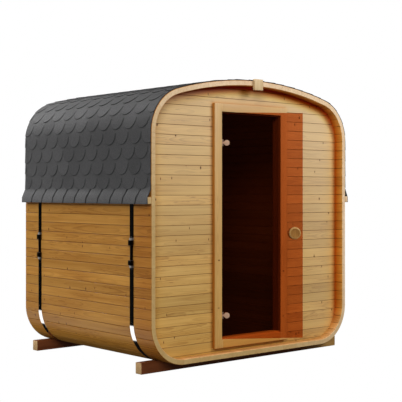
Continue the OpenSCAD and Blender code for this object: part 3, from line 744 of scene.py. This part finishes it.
def courseStrips(first, last, side):
    # one strip for each course. Its lower edge is a row of tabs: the edge rises by
    # slit * (1 - (1 - u^p)^(1/p)) with u from a tab's middle to its side. Each tab
    # is a wedge, full height at the edge and thin where the next course covers it
    w, show, slit, p = (shingle[k] for k in ("tab", "show", "slit", "round"))
    allPoints, allFaces, tiles, rims, start = [], [], [], [], 0
    tabs = int(math.ceil((coverY1 - coverY0) / w)) + 1
    rounded = np.sin(np.linspace(-math.pi / 2, math.pi / 2, shingle["columns"] + 1))
    flank = np.linspace(0.942, 0.957, 9)
    straight = np.concatenate([[-1], -flank[::-1], np.linspace(-0.9, 0.9, 7), flank, [1]])
    for k in range(first, last):
        spread = straight if k == 0 else rounded
        half = 0.5 * (k % 2)
        firstMiddle = coverY0 + shingle["start"] + (shingle["back"] if k == 0 else 0.0)
        centres = (np.arange(tabs + 2) - 1 - half) * w + firstMiddle
        y = (centres[:, None] + spread[None, :] * (w / 2 - 0.0006)).ravel()
        u = np.abs(np.tile(spread, tabs + 2))
        rise = slit * (1 - np.maximum(1 - u ** p, 0) ** (1 / p))
        if k == 0:
            rise = np.interp(u, flank[[0, -1]], [0, show * 1.08])
        inside = (y > coverY0 + 0.001) & (y < coverY1 - 0.001)
        edgeRise = np.interp([coverY0, coverY1], y, rise)
        y = np.concatenate([[coverY0], y[inside], [coverY1]])
        rise = np.concatenate([edgeRise[:1], rise[inside], edgeRise[1:]])
        # direction square to the edge, pointing into the tab
        dy, dr = np.gradient(y), np.gradient(rise)
        size = np.maximum(np.hypot(dy, dr), 1e-9)
        inY, inR = -dr / size, dy / size
        inY[[0, -1]] = 0.0
        low = k * show
        high = min(low + 2 * show + 0.012, coverEnd)
        yRows, runRows = [y], [low + rise]
        for step in shingle["rim"]:
            yRows.append(np.clip(y + inY * step, coverY0, coverY1))
            runRows.append(low + rise + inR * step)
        for share in (0.16, 0.34, 0.52, 0.7, 0.85, 1.0):
            yRows.append(yRows[len(shingle["rim"])] * (1 - share) + y * share)
            runRows.append(runRows[len(shingle["rim"])] * (1 - share) + high * share)
        yy, run = np.stack(yRows), np.clip(np.stack(runRows), 0.0, coverEnd)
        t = (run - low) / show
        top = np.interp(t, [0, 1, 2.2], [coverT - 0.0001, shingle["thin"], shingle["thin"] * 0.86])
        under = np.interp(t, [0, 1, 1.05, 2.2], [shingle["thin"] * 1.06, shingle["thin"] * 0.92, 0.0003, 0.0002])
        if k == 0:
            under = np.minimum(under, np.interp(t, [0, 1.2, 1.3], [shingle["thin"] * 0.37] * 2 + [0.0003]))
        eased = np.zeros_like(run)
        eased[0] = shingle["ease"]
        xTop, zTop = onCover(run, np.maximum(top - eased, under + 0.0001))
        xLow, zLow = onCover(run, under)
        across = yy
        if k == 0:
            # the slits of the lowest course lean forwards, the sheet's ends stay upright
            free = np.clip(np.minimum(yy - coverY0, coverY1 - yy) / shingle["upright"], 0, 1)
            across = yy - shingle["lean"] * np.clip(run, 0, show * 1.2) * free
        points = np.stack([np.stack([side * xTop, across, zTop], -1), np.stack([side * xLow, across, zLow], -1)])
        rows, cols = run.shape
        f, b = np.arange(2 * rows * cols).reshape(2, rows, cols) + start
        start += 2 * rows * cols
        faces = np.concatenate([
            np.stack([f[:-1, :-1], f[1:, :-1], f[1:, 1:], f[:-1, 1:]], -1).reshape(-1, 4),
            np.stack([b[:-1, :-1], b[:-1, 1:], b[1:, 1:], b[1:, :-1]], -1).reshape(-1, 4),
            np.stack([f[0, 1:], b[0, 1:], b[0, :-1], f[0, :-1]], -1),
            np.stack([f[-1, :-1], b[-1, :-1], b[-1, 1:], f[-1, 1:]], -1),
            np.stack([f[:-1, 0], b[:-1, 0], b[1:, 0], f[1:, 0]], -1),
            np.stack([f[1:, -1], b[1:, -1], b[:-1, -1], f[:-1, -1]], -1)])
        allFaces.append(faces[:, ::-1] if side > 0 else faces)
        allPoints.append(points.reshape(-1, 3))
        tabCoord = (yy - firstMiddle) / w + half + 0.5
        tile = np.stack([tabCoord, np.full(run.shape, k + 0.5 + 40.0 * (side < 0)), t], -1)
        tiles.append(np.broadcast_to(tile[None], (2,) + tile.shape).reshape(-1, 3))
        # rim marks each tab's lower edge and underside for darkening: dark bitumen at the cut, with painted shade along
        # it
        rim = np.zeros((2,) + run.shape)
        rim[:, 0], rim[1, :], rim[:, 1] = 1.0, 1.0, 0.6
        rim *= 0.75 if k == 0 else 1.0
        rims.append(rim.ravel())
    return np.concatenate(allPoints), np.concatenate(allFaces), np.concatenate(tiles), np.concatenate(rims)


def shingleMaterial():
    # mineral granules: fine speckle over a tone for each tab; each tab's edge and underside are darker, dark bitumen at
    # the cut with painted shade along it
    g = Graph("slate_shingle")
    place = g.add("ShaderNodeTexCoord", output="Object")
    tab, course, rise = g.parts(g.attribute("tile", "Vector"))
    tone = g.add("ShaderNodeTexWhiteNoise", {"noise_dimensions": "2D"},
                 {"Vector": g.join(tab.math("FLOOR"), course.math("FLOOR"), 0.0)})
    grit = g.noise(place, 420.0, 3.0, 0.7)
    coarse = g.noise(place, 150.0, 2.0, 0.6)
    cloud = g.noise(place, 9.0, 3.0, 0.6)
    body = g.blend(g.ramp(grit, 0.32, 0.7), colour(0.044, 0.044, 0.045), colour(0.109, 0.108, 0.109))
    light = 0.48 + tone * 0.20 + cloud * 0.2 + coarse * 0.66
    body = g.blend(1.0, body, g.join(light, light, light), "MULTIPLY")
    # darker tab edges and undersides: dark bitumen at the cut, with painted shade along it
    body = g.blend(g.attribute("rim") * 0.85, body, colour(0.012, 0.012, 0.013))
    x, y, z = g.parts(place)
    # painted light and shade: darker towards the crown and the front, lighter towards the rear, most above the shoulder
    flat = 1 - g.ramp(z, crownZ - 0.30, crownZ - 0.13) * 0.52
    flat = flat * (0.86 + g.ramp(y, 0.1, 1.7) * (0.24 + g.ramp(z, shoulderCz - 0.05, shoulderCz + 0.20) * 0.28))
    # painted highlight: lighter below the top of the flare, at the eaves
    eaves = 1 + (1 - g.ramp(z, flareTop - 0.035, flareTop + 0.015)) * 0.36
    body = g.blend(1.0, body, g.join(flat * eaves, flat * eaves, flat * eaves), "MULTIPLY")
    normal = g.add("ShaderNodeBump", {}, {"Strength": 0.5, "Distance": 0.0012, "Height": grit})
    return g.finish(g.add("ShaderNodeBsdfPrincipled", {}, {
        "Base Color": body, "Roughness": 0.74 + grit * 0.2, "Normal": normal, "Specular IOR Level": 0.3}))


def underlay(side):
    # plain starter strip that closes the slits of the first course
    run = np.linspace(0.0, shingle["show"] * 1.25, 14)
    xTop, zTop = onCover(run, np.full(14, shingle["thin"] * 0.35))
    xLow, zLow = onCover(run, np.full(14, 0.0002))
    outline = np.concatenate([np.stack([xTop, zTop], -1), np.stack([xLow, zLow], -1)[::-1]])
    ends = np.array([coverY0, coverY1])
    points = np.stack([np.broadcast_to(side * outline[:, 0], (2, 28)), np.broadcast_to(ends[:, None], (2, 28)),
                       np.broadcast_to(outline[:, 1], (2, 28))], -1).reshape(-1, 3)
    a, b = ring(28)
    i = np.arange(13)
    quads = np.concatenate([np.stack([a, b, b + 28, a + 28], -1),
                            np.stack([i + 1, i, 27 - i, 26 - i], -1),
                            np.stack([i, i + 1, 26 - i, 27 - i], -1) + 28])
    if side > 0:
        quads = quads[:, ::-1]
    tile = np.stack([points[:, 1] * 6, np.full(56, 77.5), np.full(56, 1.0)], -1)
    return points, quads, tile, np.zeros(56)


slateFace = shingleMaterial()
courses = int(math.ceil(coverEnd / shingle["show"]))
sideLast = int(round((stretches[3] - stretches[1] - (flareTop - footCz) + 0.17) / shingle["show"]))
for name, first, last, side, node in (("shingles_right", 0, sideLast, 1, "roof_covering_right"),
                                      ("shingles_left", 0, sideLast, -1, "roof_covering_left")):
    sets = [courseStrips(first, last, side), underlay(side)]
    points, tile, rim = (np.concatenate([t[i] for t in sets]) for i in (0, 2, 3))
    faces = np.concatenate([sets[0][1], sets[1][1] + len(sets[0][0])])
    fit(makeMesh(name, points, [(faces, 0)], [slateFace], {"tile": tile, "rim": rim}, 30, 0.00002), "cabin", "roof_shingle", node)
top = [courseStrips(sideLast, courses, side) for side in (1, -1)]
points = np.concatenate([t[0] for t in top])
faces = np.concatenate([top[0][1], top[1][1] + len(top[0][0])])
tile, rim = np.concatenate([t[2] for t in top]), np.concatenate([t[3] for t in top])
fit(makeMesh("shingles_top", points, [(faces, 0)], [slateFace], {"tile": tile, "rim": rim}, 30, 0.00002), "cabin", "roof_shingle", "roof_covering_arch")
print("shingles made:", courses, "courses a side")


# ---- hoops, rods and lugs


def metalMaterial(name, base, rough, metallic=1.0, wear=0.25, coat=0.0):
    # rolled steel: fine brushing in the roughness, faint clouding in the colour
    g = Graph(name)
    place = g.add("ShaderNodeTexCoord", output="Object")
    cloud = g.noise(place, 14.0, 3.0, 0.6)
    brushed = g.noise(g.add("ShaderNodeMapping", {}, {"Vector": place, "Scale": (260.0, 260.0, 18.0)}), 1.0, 2.0)
    body = g.blend(cloud * wear, colour(*base), colour(*[c * 0.55 for c in base]))
    normal = g.add("ShaderNodeBump", {}, {"Strength": 0.08, "Distance": 0.0003, "Height": brushed})
    return g.finish(g.add("ShaderNodeBsdfPrincipled", {}, {
        "Base Color": body, "Roughness": rough + brushed * 0.1, "Metallic": metallic, "Normal": normal,
        "Coat Weight": coat}))


hoopSteel = metalMaterial("hoop_steel_face", (0.88, 0.86, 0.84), 0.035, 1.0, 0.1)
lugSteel = metalMaterial("lug_steel_face", (0.030, 0.026, 0.024), 0.34)
rodSteel = metalMaterial("rod_steel_face", (0.022, 0.019, 0.017), 0.34)
nutSteel = metalMaterial("nut_steel_face", (0.52, 0.50, 0.48), 0.30, 0.35)
hingeMetal = metalMaterial("hinge_metal_face", (0.84, 0.53, 0.36), 0.38, 0.35)
plateMetal = metalMaterial("plate_metal_face", (0.40, 0.25, 0.17), 0.36, 0.5)

hoop = {
    "ease": 0.0005,       # worn edges of the strap
    "turns": 0.05,        # turn from one section to the next round a bend
    "thread": 0.00175,    # pitch of the rods' thread
    "threadDepth": 0.0007,
    "lugRound": 0.005,    # outer corners of a lug
    "lugEase": 0.0012,    # its other edges
    "nutShare": 0.61,     # height of a nut; its lock nut takes the rest
    "nutEase": 0.0012,
    "tongue": 0.032,      # width of the strip behind a rod, from lug to lug
    "tongueEase": 0.0004,
}


def bothSides(s):
    # distances past the crown carry on down the other side
    return np.where(s > halfLine, s - 2 * halfLine, s)


def strap(name, node, rod):
    # a flat bar section carried along the outer line from lug to lug, cut every
    # 12 mm along it
    lo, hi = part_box(node)
    upper = lo.z > footCz
    rodLo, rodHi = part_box(rod)
    yMid, thick = (lo.y + hi.y) / 2, hoopT
    fine = np.arange(-halfLine, halfLine, 0.012)
    if upper:
        start = stretches[1] + (lo.z - footCz)
        s = np.concatenate([[start], fine[(fine > start + 0.01)], 2 * halfLine - fine[(fine > start + 0.01)][::-1], [2 * halfLine - start]])
        s = np.unique(np.round(s, 5))
    else:
        end = stretches[1] + (hi.z - footCz)
        s = np.concatenate([[-end], fine[np.abs(fine) < end - 0.01], [end]])
    e, half = hoop["ease"], hoopW / 2
    across = np.array([-half, -half + e, half - e, half, half, half - e, -half + e, -half])
    lift = np.array([thick - e, thick, thick, thick - e, e, 0, 0, e])
    x, z, nx, nz = outerLine(bothSides(s))
    points = np.stack([x[:, None] + nx[:, None] * lift, np.broadcast_to(yMid + across, (len(s), 8)),
                       z[:, None] + nz[:, None] * lift], -1)
    a, b = ring(8)
    rows = np.arange(len(s) - 1)[:, None] * 8
    quads = np.stack([rows + a, rows + b, rows + 8 + b, rows + 8 + a], -1).reshape(-1, 4)
    caps = np.stack([a[::-1], (len(s) - 1) * 8 + a])
    return points.reshape(-1, 3), quads, caps, 0


def block(lo, hi, ease, rounds):
    # bar carried up from a rounded outline, corner + radius * (cos, sin) at each of
    # its four corners, and drawn in a little at both ends
    corner = np.array([[lo[0], lo[1]], [hi[0], lo[1]], [hi[0], hi[1]], [lo[0], hi[1]]])
    radius = np.array(rounds)[:, None]
    turn = np.radians(np.array([180, 270, 0, 90])[:, None] + np.linspace(0, 90, 6))
    centre = corner + np.array([[1, 1], [-1, 1], [-1, -1], [1, -1]]) * radius
    line = (centre[:, None, :] + radius[:, None] * np.stack([np.cos(turn), np.sin(turn)], -1)).reshape(-1, 2)
    middle = (corner[0] + corner[2]) / 2
    size = np.array(hi[:2]) - np.array(lo[:2])
    levels = np.array([lo[2], lo[2] + ease, hi[2] - ease, hi[2]])
    draw = np.array([ease, 0, 0, ease])
    flat = middle + (line - middle)[None] * (1 - 2 * draw[:, None, None] / size)
    n = len(line)
    points = np.concatenate([flat, np.broadcast_to(levels[:, None, None], (4, n, 1))], -1).reshape(-1, 3)
    a, b = ring(n)
    rows = np.arange(3)[:, None] * n
    quads = np.stack([rows + a, rows + b, rows + n + b, rows + n + a], -1).reshape(-1, 4)
    return points, quads, np.stack([a[::-1], 3 * n + a]), 1


def joined(name, parts, slots, sharp=32):
    # several closed shapes in one mesh; a part is points, quads, caps, material
    points, faceSets, start = [], [], 0
    for p, quads, caps, material in parts:
        points.append(p)
        faceSets += [(quads + start, material), (caps + start, material)]
        start += len(p)
    return makeMesh(name, np.concatenate(points), faceSets, slots, None, sharp)


rodLo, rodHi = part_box("tension_rod_front_right")
bandLo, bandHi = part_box("band_front_upper")
hoopT = bandHi.z - crownZ
lugW = bandHi.y - bandLo.y
hoopW = 0.050
lugOut = bandHi.x


def lugHeights():
    # the two lugs of one joint, from the free ends of the half hoops
    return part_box("band_front_lower")[1].z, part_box("band_front_upper")[0].z


lowTop, highFoot = lugHeights()
lugH = 0.040
for part, rods in (("front", "tension_rod_front_right"), ("rear", "tension_rod_rear_right")):
    for half in ("upper", "lower"):
        node = "band_" + part + "_" + half
        lo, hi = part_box(node)
        yMid = (lo.y + hi.y) / 2
        z0 = highFoot if half == "upper" else lowTop - lugH
        out, tight = hoop["lugRound"], hoop["lugEase"]
        lugs = [block((x0, yMid - lugW / 2, z0), (x0 + lugOut - halfW - hoopT, yMid + lugW / 2, z0 + lugH), tight, rounds)
                for x0, rounds in ((halfW + hoopT, (tight, out, out, tight)), (-lugOut, (out, tight, tight, out)))]
        if half == "upper":
            # a narrower dark strip behind the rod, from the upper lug down to the lower lug
            wide, thin = hoop["tongue"] / 2, hoop["tongueEase"]
            lugs += [block((x0, yMid - wide, lowTop + thin), (x0 + hoopT, yMid + wide, highFoot), thin, (thin,) * 4)
                     for x0 in (halfW, -halfW - hoopT)]
        fit(joined("hoop_" + part + "_" + half, [strap(node, node, rods)] + lugs, [hoopSteel, lugSteel]),
            "cabin", "hoop_steel", node)


def threadedRod(name, node):
    # rod radius = r - depth * triangle wave of (height / pitch - turn), which is a
    # helical thread; a nut's outline is flat / cos(turn from the nearest flat), cut
    # back to a circle at its two faces
    lo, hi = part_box(node)
    cx, cy = (lo.x + hi.x) / 2, (lo.y + hi.y) / 2
    radius = 0.006
    segments = 16
    turn = np.linspace(0, 2 * math.pi, segments, endpoint=False)
    z = np.linspace(lo.z, hi.z, int((hi.z - lo.z) / hoop["thread"] * 3))
    phase = (z[:, None] / hoop["thread"] - turn[None, :] / (2 * math.pi)) % 1.0
    r = radius - hoop["threadDepth"] * np.abs(2 * phase - 1)
    ends = np.minimum(np.minimum(z - lo.z, hi.z - z) / 0.0015, 1.0)[:, None]
    r = r * (0.75 + 0.25 * ends)
    points = np.stack([cx + r * np.cos(turn), cy + r * np.sin(turn), np.broadcast_to(z[:, None], r.shape)], -1)
    a, b = ring(segments)
    rows = np.arange(len(z) - 1)[:, None] * segments
    quads = np.stack([rows + a, rows + b, rows + segments + b, rows + segments + a], -1).reshape(-1, 4)
    parts = [(points.reshape(-1, 3), quads, np.stack([a[::-1], (len(z) - 1) * segments + a]), 0)]
    corner = (hi.y - lo.y) / 2
    turn = np.linspace(0, 2 * math.pi, 36, endpoint=False)
    hexR = corner * math.cos(math.pi / 6) / np.cos((turn + math.pi / 6) % (math.pi / 3) - math.pi / 6)
    worn = np.minimum(hexR, corner * 0.89)
    tail = (hi.z - lo.z - (highFoot + lugH - lowTop + lugH)) / 2
    stack = min(0.018, tail)
    split, ease = hoop["nutShare"] * stack, hoop["nutEase"]
    for foot, way in ((lowTop - lugH, -1.0), (highFoot + lugH, 1.0)):
        for h0, h1 in ((0.0, split - 0.0002), (split + 0.0002, stack)):
            height = np.array([h0, h0 + ease, h1 - ease, h1])
            rings = np.stack([worn, hexR, hexR, worn])
            zz = foot + way * height[:, None] * np.ones(36)
            points = np.stack([cx + rings * np.cos(turn), cy + rings * np.sin(turn), zz], -1)
            a, b = ring(36)
            rows = np.arange(3)[:, None] * 36
            quads = np.stack([rows + a, rows + b, rows + 36 + b, rows + 36 + a], -1).reshape(-1, 4)
            caps = np.stack([a[::-1], 3 * 36 + a])
            if way < 0:
                quads, caps = quads[:, ::-1], caps[:, ::-1]
            parts.append((points.reshape(-1, 3), quads, caps, 1))
    return joined(name, parts, [rodSteel, nutSteel])


for end in ("front_left", "front_right", "rear_left", "rear_right"):
    node = "tension_rod_" + end
    fit(threadedRod("rod_" + end, node), "cabin", "fixing_steel", node)
for name, node, body in (("hinge_disc_top", "hinge_clamp_top", "door"), ("hinge_disc_bottom", "hinge_clamp_bottom", "door")):
    easedCopy(name, node, 0.0008, hingeMetal, "z", "hinge_metal", body)
for name, node in (("hinge_plate_top", "hinge_bracket_top"), ("hinge_plate_bottom", "hinge_bracket_bottom")):
    easedCopy(name, node, 0.0005, plateMetal, "z", "hinge_metal")
nodes["knob_bolt"].data.materials.clear()
nodes["knob_bolt"].data.materials.append(nutSteel)
print("hoops, rods and hinges made")


# ---- door glass and knobs


def glassMaterial():
    # bronze float glass: each face passes the root of the pane's tint, and mirrors
    # 0.04 + 0.96 * facing^5 of the light, with facing from 0 square on to 1 edge on
    g = Graph("bronze_pane")
    clear = g.add("ShaderNodeBsdfTransparent", {}, {"Color": colour(0.83, 0.49, 0.320)})
    mirror = g.add("ShaderNodeBsdfGlossy", {}, {"Color": colour(1.0, 0.97, 0.94), "Roughness": 0.02})
    facing = g.add("ShaderNodeLayerWeight", {}, {"Blend": 0.5}, output=1)
    share = (facing ** 5.0) * 0.96 + 0.04
    return g.finish(g.add("ShaderNodeMixShader", {}, {0: share, 1: clear, 2: mirror}))


bronzePane = glassMaterial()
nodes["door_glass"].data.materials.clear()
nodes["door_glass"].data.materials.append(bronzePane)
nodes["door_glass"].visible_shadow = False      # thin clear panes hardly shade

knob = {"rimR": 0.012, "dish": 0.0035, "neckR": 0.023, "turns": 72}


def turnedKnob(name, node, other):
    # a turned profile, radius against height over the glass, swept round the bolt's
    # line; the line runs from the other knob's middle to this one's
    lo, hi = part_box(node)
    otherLo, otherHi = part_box(other)
    middle, opposite = (lo + hi) / 2, (otherLo + otherHi) / 2
    axis = (middle - opposite).normalized()
    r = (hi.z - lo.z) / 2
    corners = np.zeros(len(nodes[node].data.vertices) * 3)
    nodes[node].data.vertices.foreach_get("co", corners)
    along = corners.reshape(-1, 3) @ np.array(axis)
    height = float(along.max() - along.min())
    sideways = Vector((0, 0, 1)).cross(axis).normalized()
    level = corners.reshape(-1, 3) @ np.array(sideways)
    base = axis * float(along.min()) + sideways * float(level.max() + level.min()) / 2 + Vector((0, 0, middle.z))
    angle = np.linspace(-math.pi / 2, math.pi / 2, 9)
    neck = knob["neckR"]
    flank = 0.010
    rimR = min(knob["rimR"], (height - flank) / 2)
    rimMid = height - rimR
    profileR = np.concatenate([[neck, neck * 0.98, neck * 1.12, r - rimR * 1.1], r - rimR + rimR * np.cos(angle)])
    profileH = np.concatenate([[0.0, flank * 0.55, flank * 0.95, rimMid - rimR], rimMid + rimR * np.sin(angle)])
    dishR = np.linspace(r - rimR * 1.05, 0.0, 9)[:-1]
    dishH = height - knob["dish"] * (1 - (dishR / (r - rimR)) ** 2) ** 1.0
    dishH = np.minimum(dishH, height)
    profileR = np.concatenate([profileR, dishR[1:]])
    profileH = np.concatenate([profileH, dishH[1:]])
    turn = np.linspace(0, 2 * math.pi, knob["turns"], endpoint=False)
    up = Vector((0, 0, 1))
    across = np.array(up.cross(axis).normalized())
    up, ax = np.array(up), np.array(axis)
    ringPoints = np.cos(turn)[:, None] * across + np.sin(turn)[:, None] * up
    points = np.array(base) + profileH[:, None, None] * ax + profileR[:, None, None] * ringPoints[None]
    rows, cols = points.shape[:2]
    tip = np.array(base) + (height - knob["dish"]) * ax
    flat = np.concatenate([points.reshape(-1, 3), [tip, np.array(base)]])
    a, b = ring(cols)
    line = np.arange(rows - 1)[:, None] * cols
    quads = np.stack([line + a, line + b, line + cols + b, line + cols + a], -1).reshape(-1, 4)
    last = (rows - 1) * cols
    capTop = np.stack([last + a, last + b, np.full(cols, rows * cols)], -1)
    capLow = np.stack([b, a, np.full(cols, rows * cols + 1)], -1)
    local = flat - np.array(base)
    grain = np.stack([local @ up, local @ across, local @ ax], -1) + np.array([rng.uniform(-9, 9), 0.01, 0.05])
    material = np.concatenate([np.zeros(0)])
    rimRows = 4 + len(angle)
    return makeMesh(name, flat, [(quads[: (rimRows - 1) * cols], 1), (quads[(rimRows - 1) * cols:], 0), (capTop, 0), (capLow, 1)],
                    [knobFace, knobRim], {"grain": grain, "tone": np.full(len(flat), 0.5), "joint": np.zeros(len(flat))}, 40)


fit(turnedKnob("knob_outside", "door_knob_outer", "door_knob_inner"), "door", "knob_wood", "door_knob_outer")
fit(turnedKnob("knob_inside", "door_knob_inner", "door_knob_outer"), "door", "knob_wood", "door_knob_inner")
print("door made")


# ---- studio

studio = {
    "aim": (0.0, 0.7, 1.1),
    "surround": 0.03,        # light from all round
    "mirror": 0.004,         # the same as mirrors see it
    "pool": 0.12,            # brightness of the lit floor round the cabin
    "poolR": 3.4,            # and its radius
    "card": (1.20, 2.05, 0.1, 4.2),    # bright floor beside the cabin that only mirrors see
    "cardGlow": 1.3,
    # direction round the cabin (0 is straight in front), height angle, distance,
    # size, watts, and whether polished things mirror it
    "key": (27, 30, 7.0, 2.3, 218, True),
    "fill": (-41, 27, 14.0, 6.0, 985, False),
    "left": (-120, 15, 9.0, 4.5, 262, False),
    "back": (-168, 43, 9.0, 5.0, 680, True),
    "top": (-90, 85, 9.0, 4.5, 240, True),
    "right": (118, 14, 9.0, 4.5, 200, False),
    # lamp behind the front wall: place, width, height, watts and colour
    "inside": ((0.0, 0.16, 1.45), 0.9, 1.5, 2.4, (1.0, 0.95, 0.8)),
}


def stageFloor():
    # pale floor: seen it is white, as a light it is a soft round pool, and mirrors
    # see only the bright strips beside the cabin
    size = 60.0
    points = np.array([[-size, -size, 0], [size, -size, 0], [size, size, 0], [-size, size, 0]], float)
    g = Graph("floor_paint")
    x, y, _ = g.parts(g.add("ShaderNodeTexCoord", output="Object"))
    away = ((x * x) + (y - studio["aim"][1]) * (y - studio["aim"][1])).math("SQRT")
    pool = (1 - g.ramp(away, studio["poolR"] - 0.5, studio["poolR"] + 0.5)) * studio["pool"]
    x0, x1, y0, y1 = studio["card"]
    beside = x.math("ABSOLUTE")
    card = g.ramp(beside, x0 - 0.02, x0 + 0.02) * (1 - g.ramp(beside, x1 - 0.08, x1 + 0.08))
    card = card * g.ramp(y, y0 - 0.1, y0 + 0.1) * (1 - g.ramp(y, y1 - 0.3, y1 + 0.3)) * studio["cardGlow"]
    matt = g.add("ShaderNodeBsdfDiffuse", {}, {"Color": colour(0.08, 0.08, 0.08)})
    glow = g.add("ShaderNodeEmission", {}, {"Color": colour(1, 1, 1), "Strength": pool})
    lit = g.add("ShaderNodeAddShader", {}, (matt, glow))
    mirrored = g.add("ShaderNodeEmission", {}, {"Color": colour(1, 1, 1), "Strength": card + studio["mirror"]})
    seen = g.add("ShaderNodeEmission", {}, {"Color": colour(1, 1, 1), "Strength": 1.0})
    path = g.add("ShaderNodeLightPath").out.node
    eye, mirror = (Socket(g, path.outputs[k]) for k in ("Is Camera Ray", "Is Glossy Ray"))
    others = g.add("ShaderNodeMixShader", {}, (mirror, lit, mirrored))
    material = g.finish(g.add("ShaderNodeMixShader", {}, (eye, others, seen)))
    floor = makeMesh("studio_floor", points, [(np.array([[0, 1, 2, 3]]), 0)], [material])


def softbox(name):
    # square lamp on a sphere round the cabin, turned to face it
    around, up, far, size, watts, mirrored = studio[name]
    a, e = math.radians(around), math.radians(up)
    aim = Vector(studio["aim"])
    place = aim + far * Vector((math.sin(a) * math.cos(e), -math.cos(a) * math.cos(e), math.sin(e)))
    lamp = bpy.data.lights.new(name, "AREA")
    lamp.shape, lamp.size, lamp.energy = "SQUARE", size, watts
    box = bpy.data.objects.new(name, lamp)
    box.location = place
    box.rotation_euler = (aim - place).to_track_quat("-Z", "Y").to_euler()
    box.visible_glossy = mirrored
    bpy.context.scene.collection.objects.link(box)


def insideLamp():
    # faint upright lamp behind the front wall that faces the rear one
    where, wide, tall, watts, tint = studio["inside"]
    lamp = bpy.data.lights.new("inside", "AREA")
    lamp.shape, lamp.size, lamp.size_y, lamp.energy, lamp.color = "RECTANGLE", wide, tall, watts, tint
    box = bpy.data.objects.new("inside", lamp)
    box.location = where
    box.rotation_euler = (math.radians(90), 0, 0)
    box.visible_camera = box.visible_glossy = box.visible_transmission = False
    bpy.context.scene.collection.objects.link(box)


def surround():
    # white for the eye, a soft grey as light, darker in mirrors
    world = bpy.data.worlds.new("surround")
    bpy.context.scene.world = world
    world.use_nodes = True
    tree = world.node_tree
    tree.nodes.clear()
    path, out = tree.nodes.new("ShaderNodeLightPath"), tree.nodes.new("ShaderNodeOutputWorld")
    layers = []
    for strength in (studio["surround"], studio["mirror"], 1.0):
        layers.append(tree.nodes.new("ShaderNodeBackground"))
        layers[-1].inputs["Color"].default_value, layers[-1].inputs["Strength"].default_value = colour(1, 1, 1), strength
    inner, outer = tree.nodes.new("ShaderNodeMixShader"), tree.nodes.new("ShaderNodeMixShader")
    for mix, ray, first, second in ((inner, "Is Glossy Ray", layers[0], layers[1]), (outer, "Is Camera Ray", inner, layers[2])):
        tree.links.new(path.outputs[ray], mix.inputs[0])
        tree.links.new(first.outputs[0], mix.inputs[1])
        tree.links.new(second.outputs[0], mix.inputs[2])
    tree.links.new(outer.outputs[0], out.inputs["Surface"])


stageFloor()
surround()
for name in ("key", "fill", "left", "back", "top", "right"):
    softbox(name)
insideLamp()

view = {"place": (-5.7125, -6.0357, 1.4051), "yaw": 40.954, "lens": 88.397, "shiftY": -0.0245}
lens = bpy.data.cameras.new("view")
lens.lens, lens.sensor_width, lens.shift_y = view["lens"], 36.0, view["shiftY"]
camera = bpy.data.objects.new("view", lens)
camera.location = view["place"]
camera.rotation_euler = (math.radians(90), 0, -math.radians(view["yaw"]))
bpy.context.scene.collection.objects.link(camera)
bpy.context.scene.camera = camera
bpy.context.scene.view_settings.view_transform = "Standard"
print("studio made")
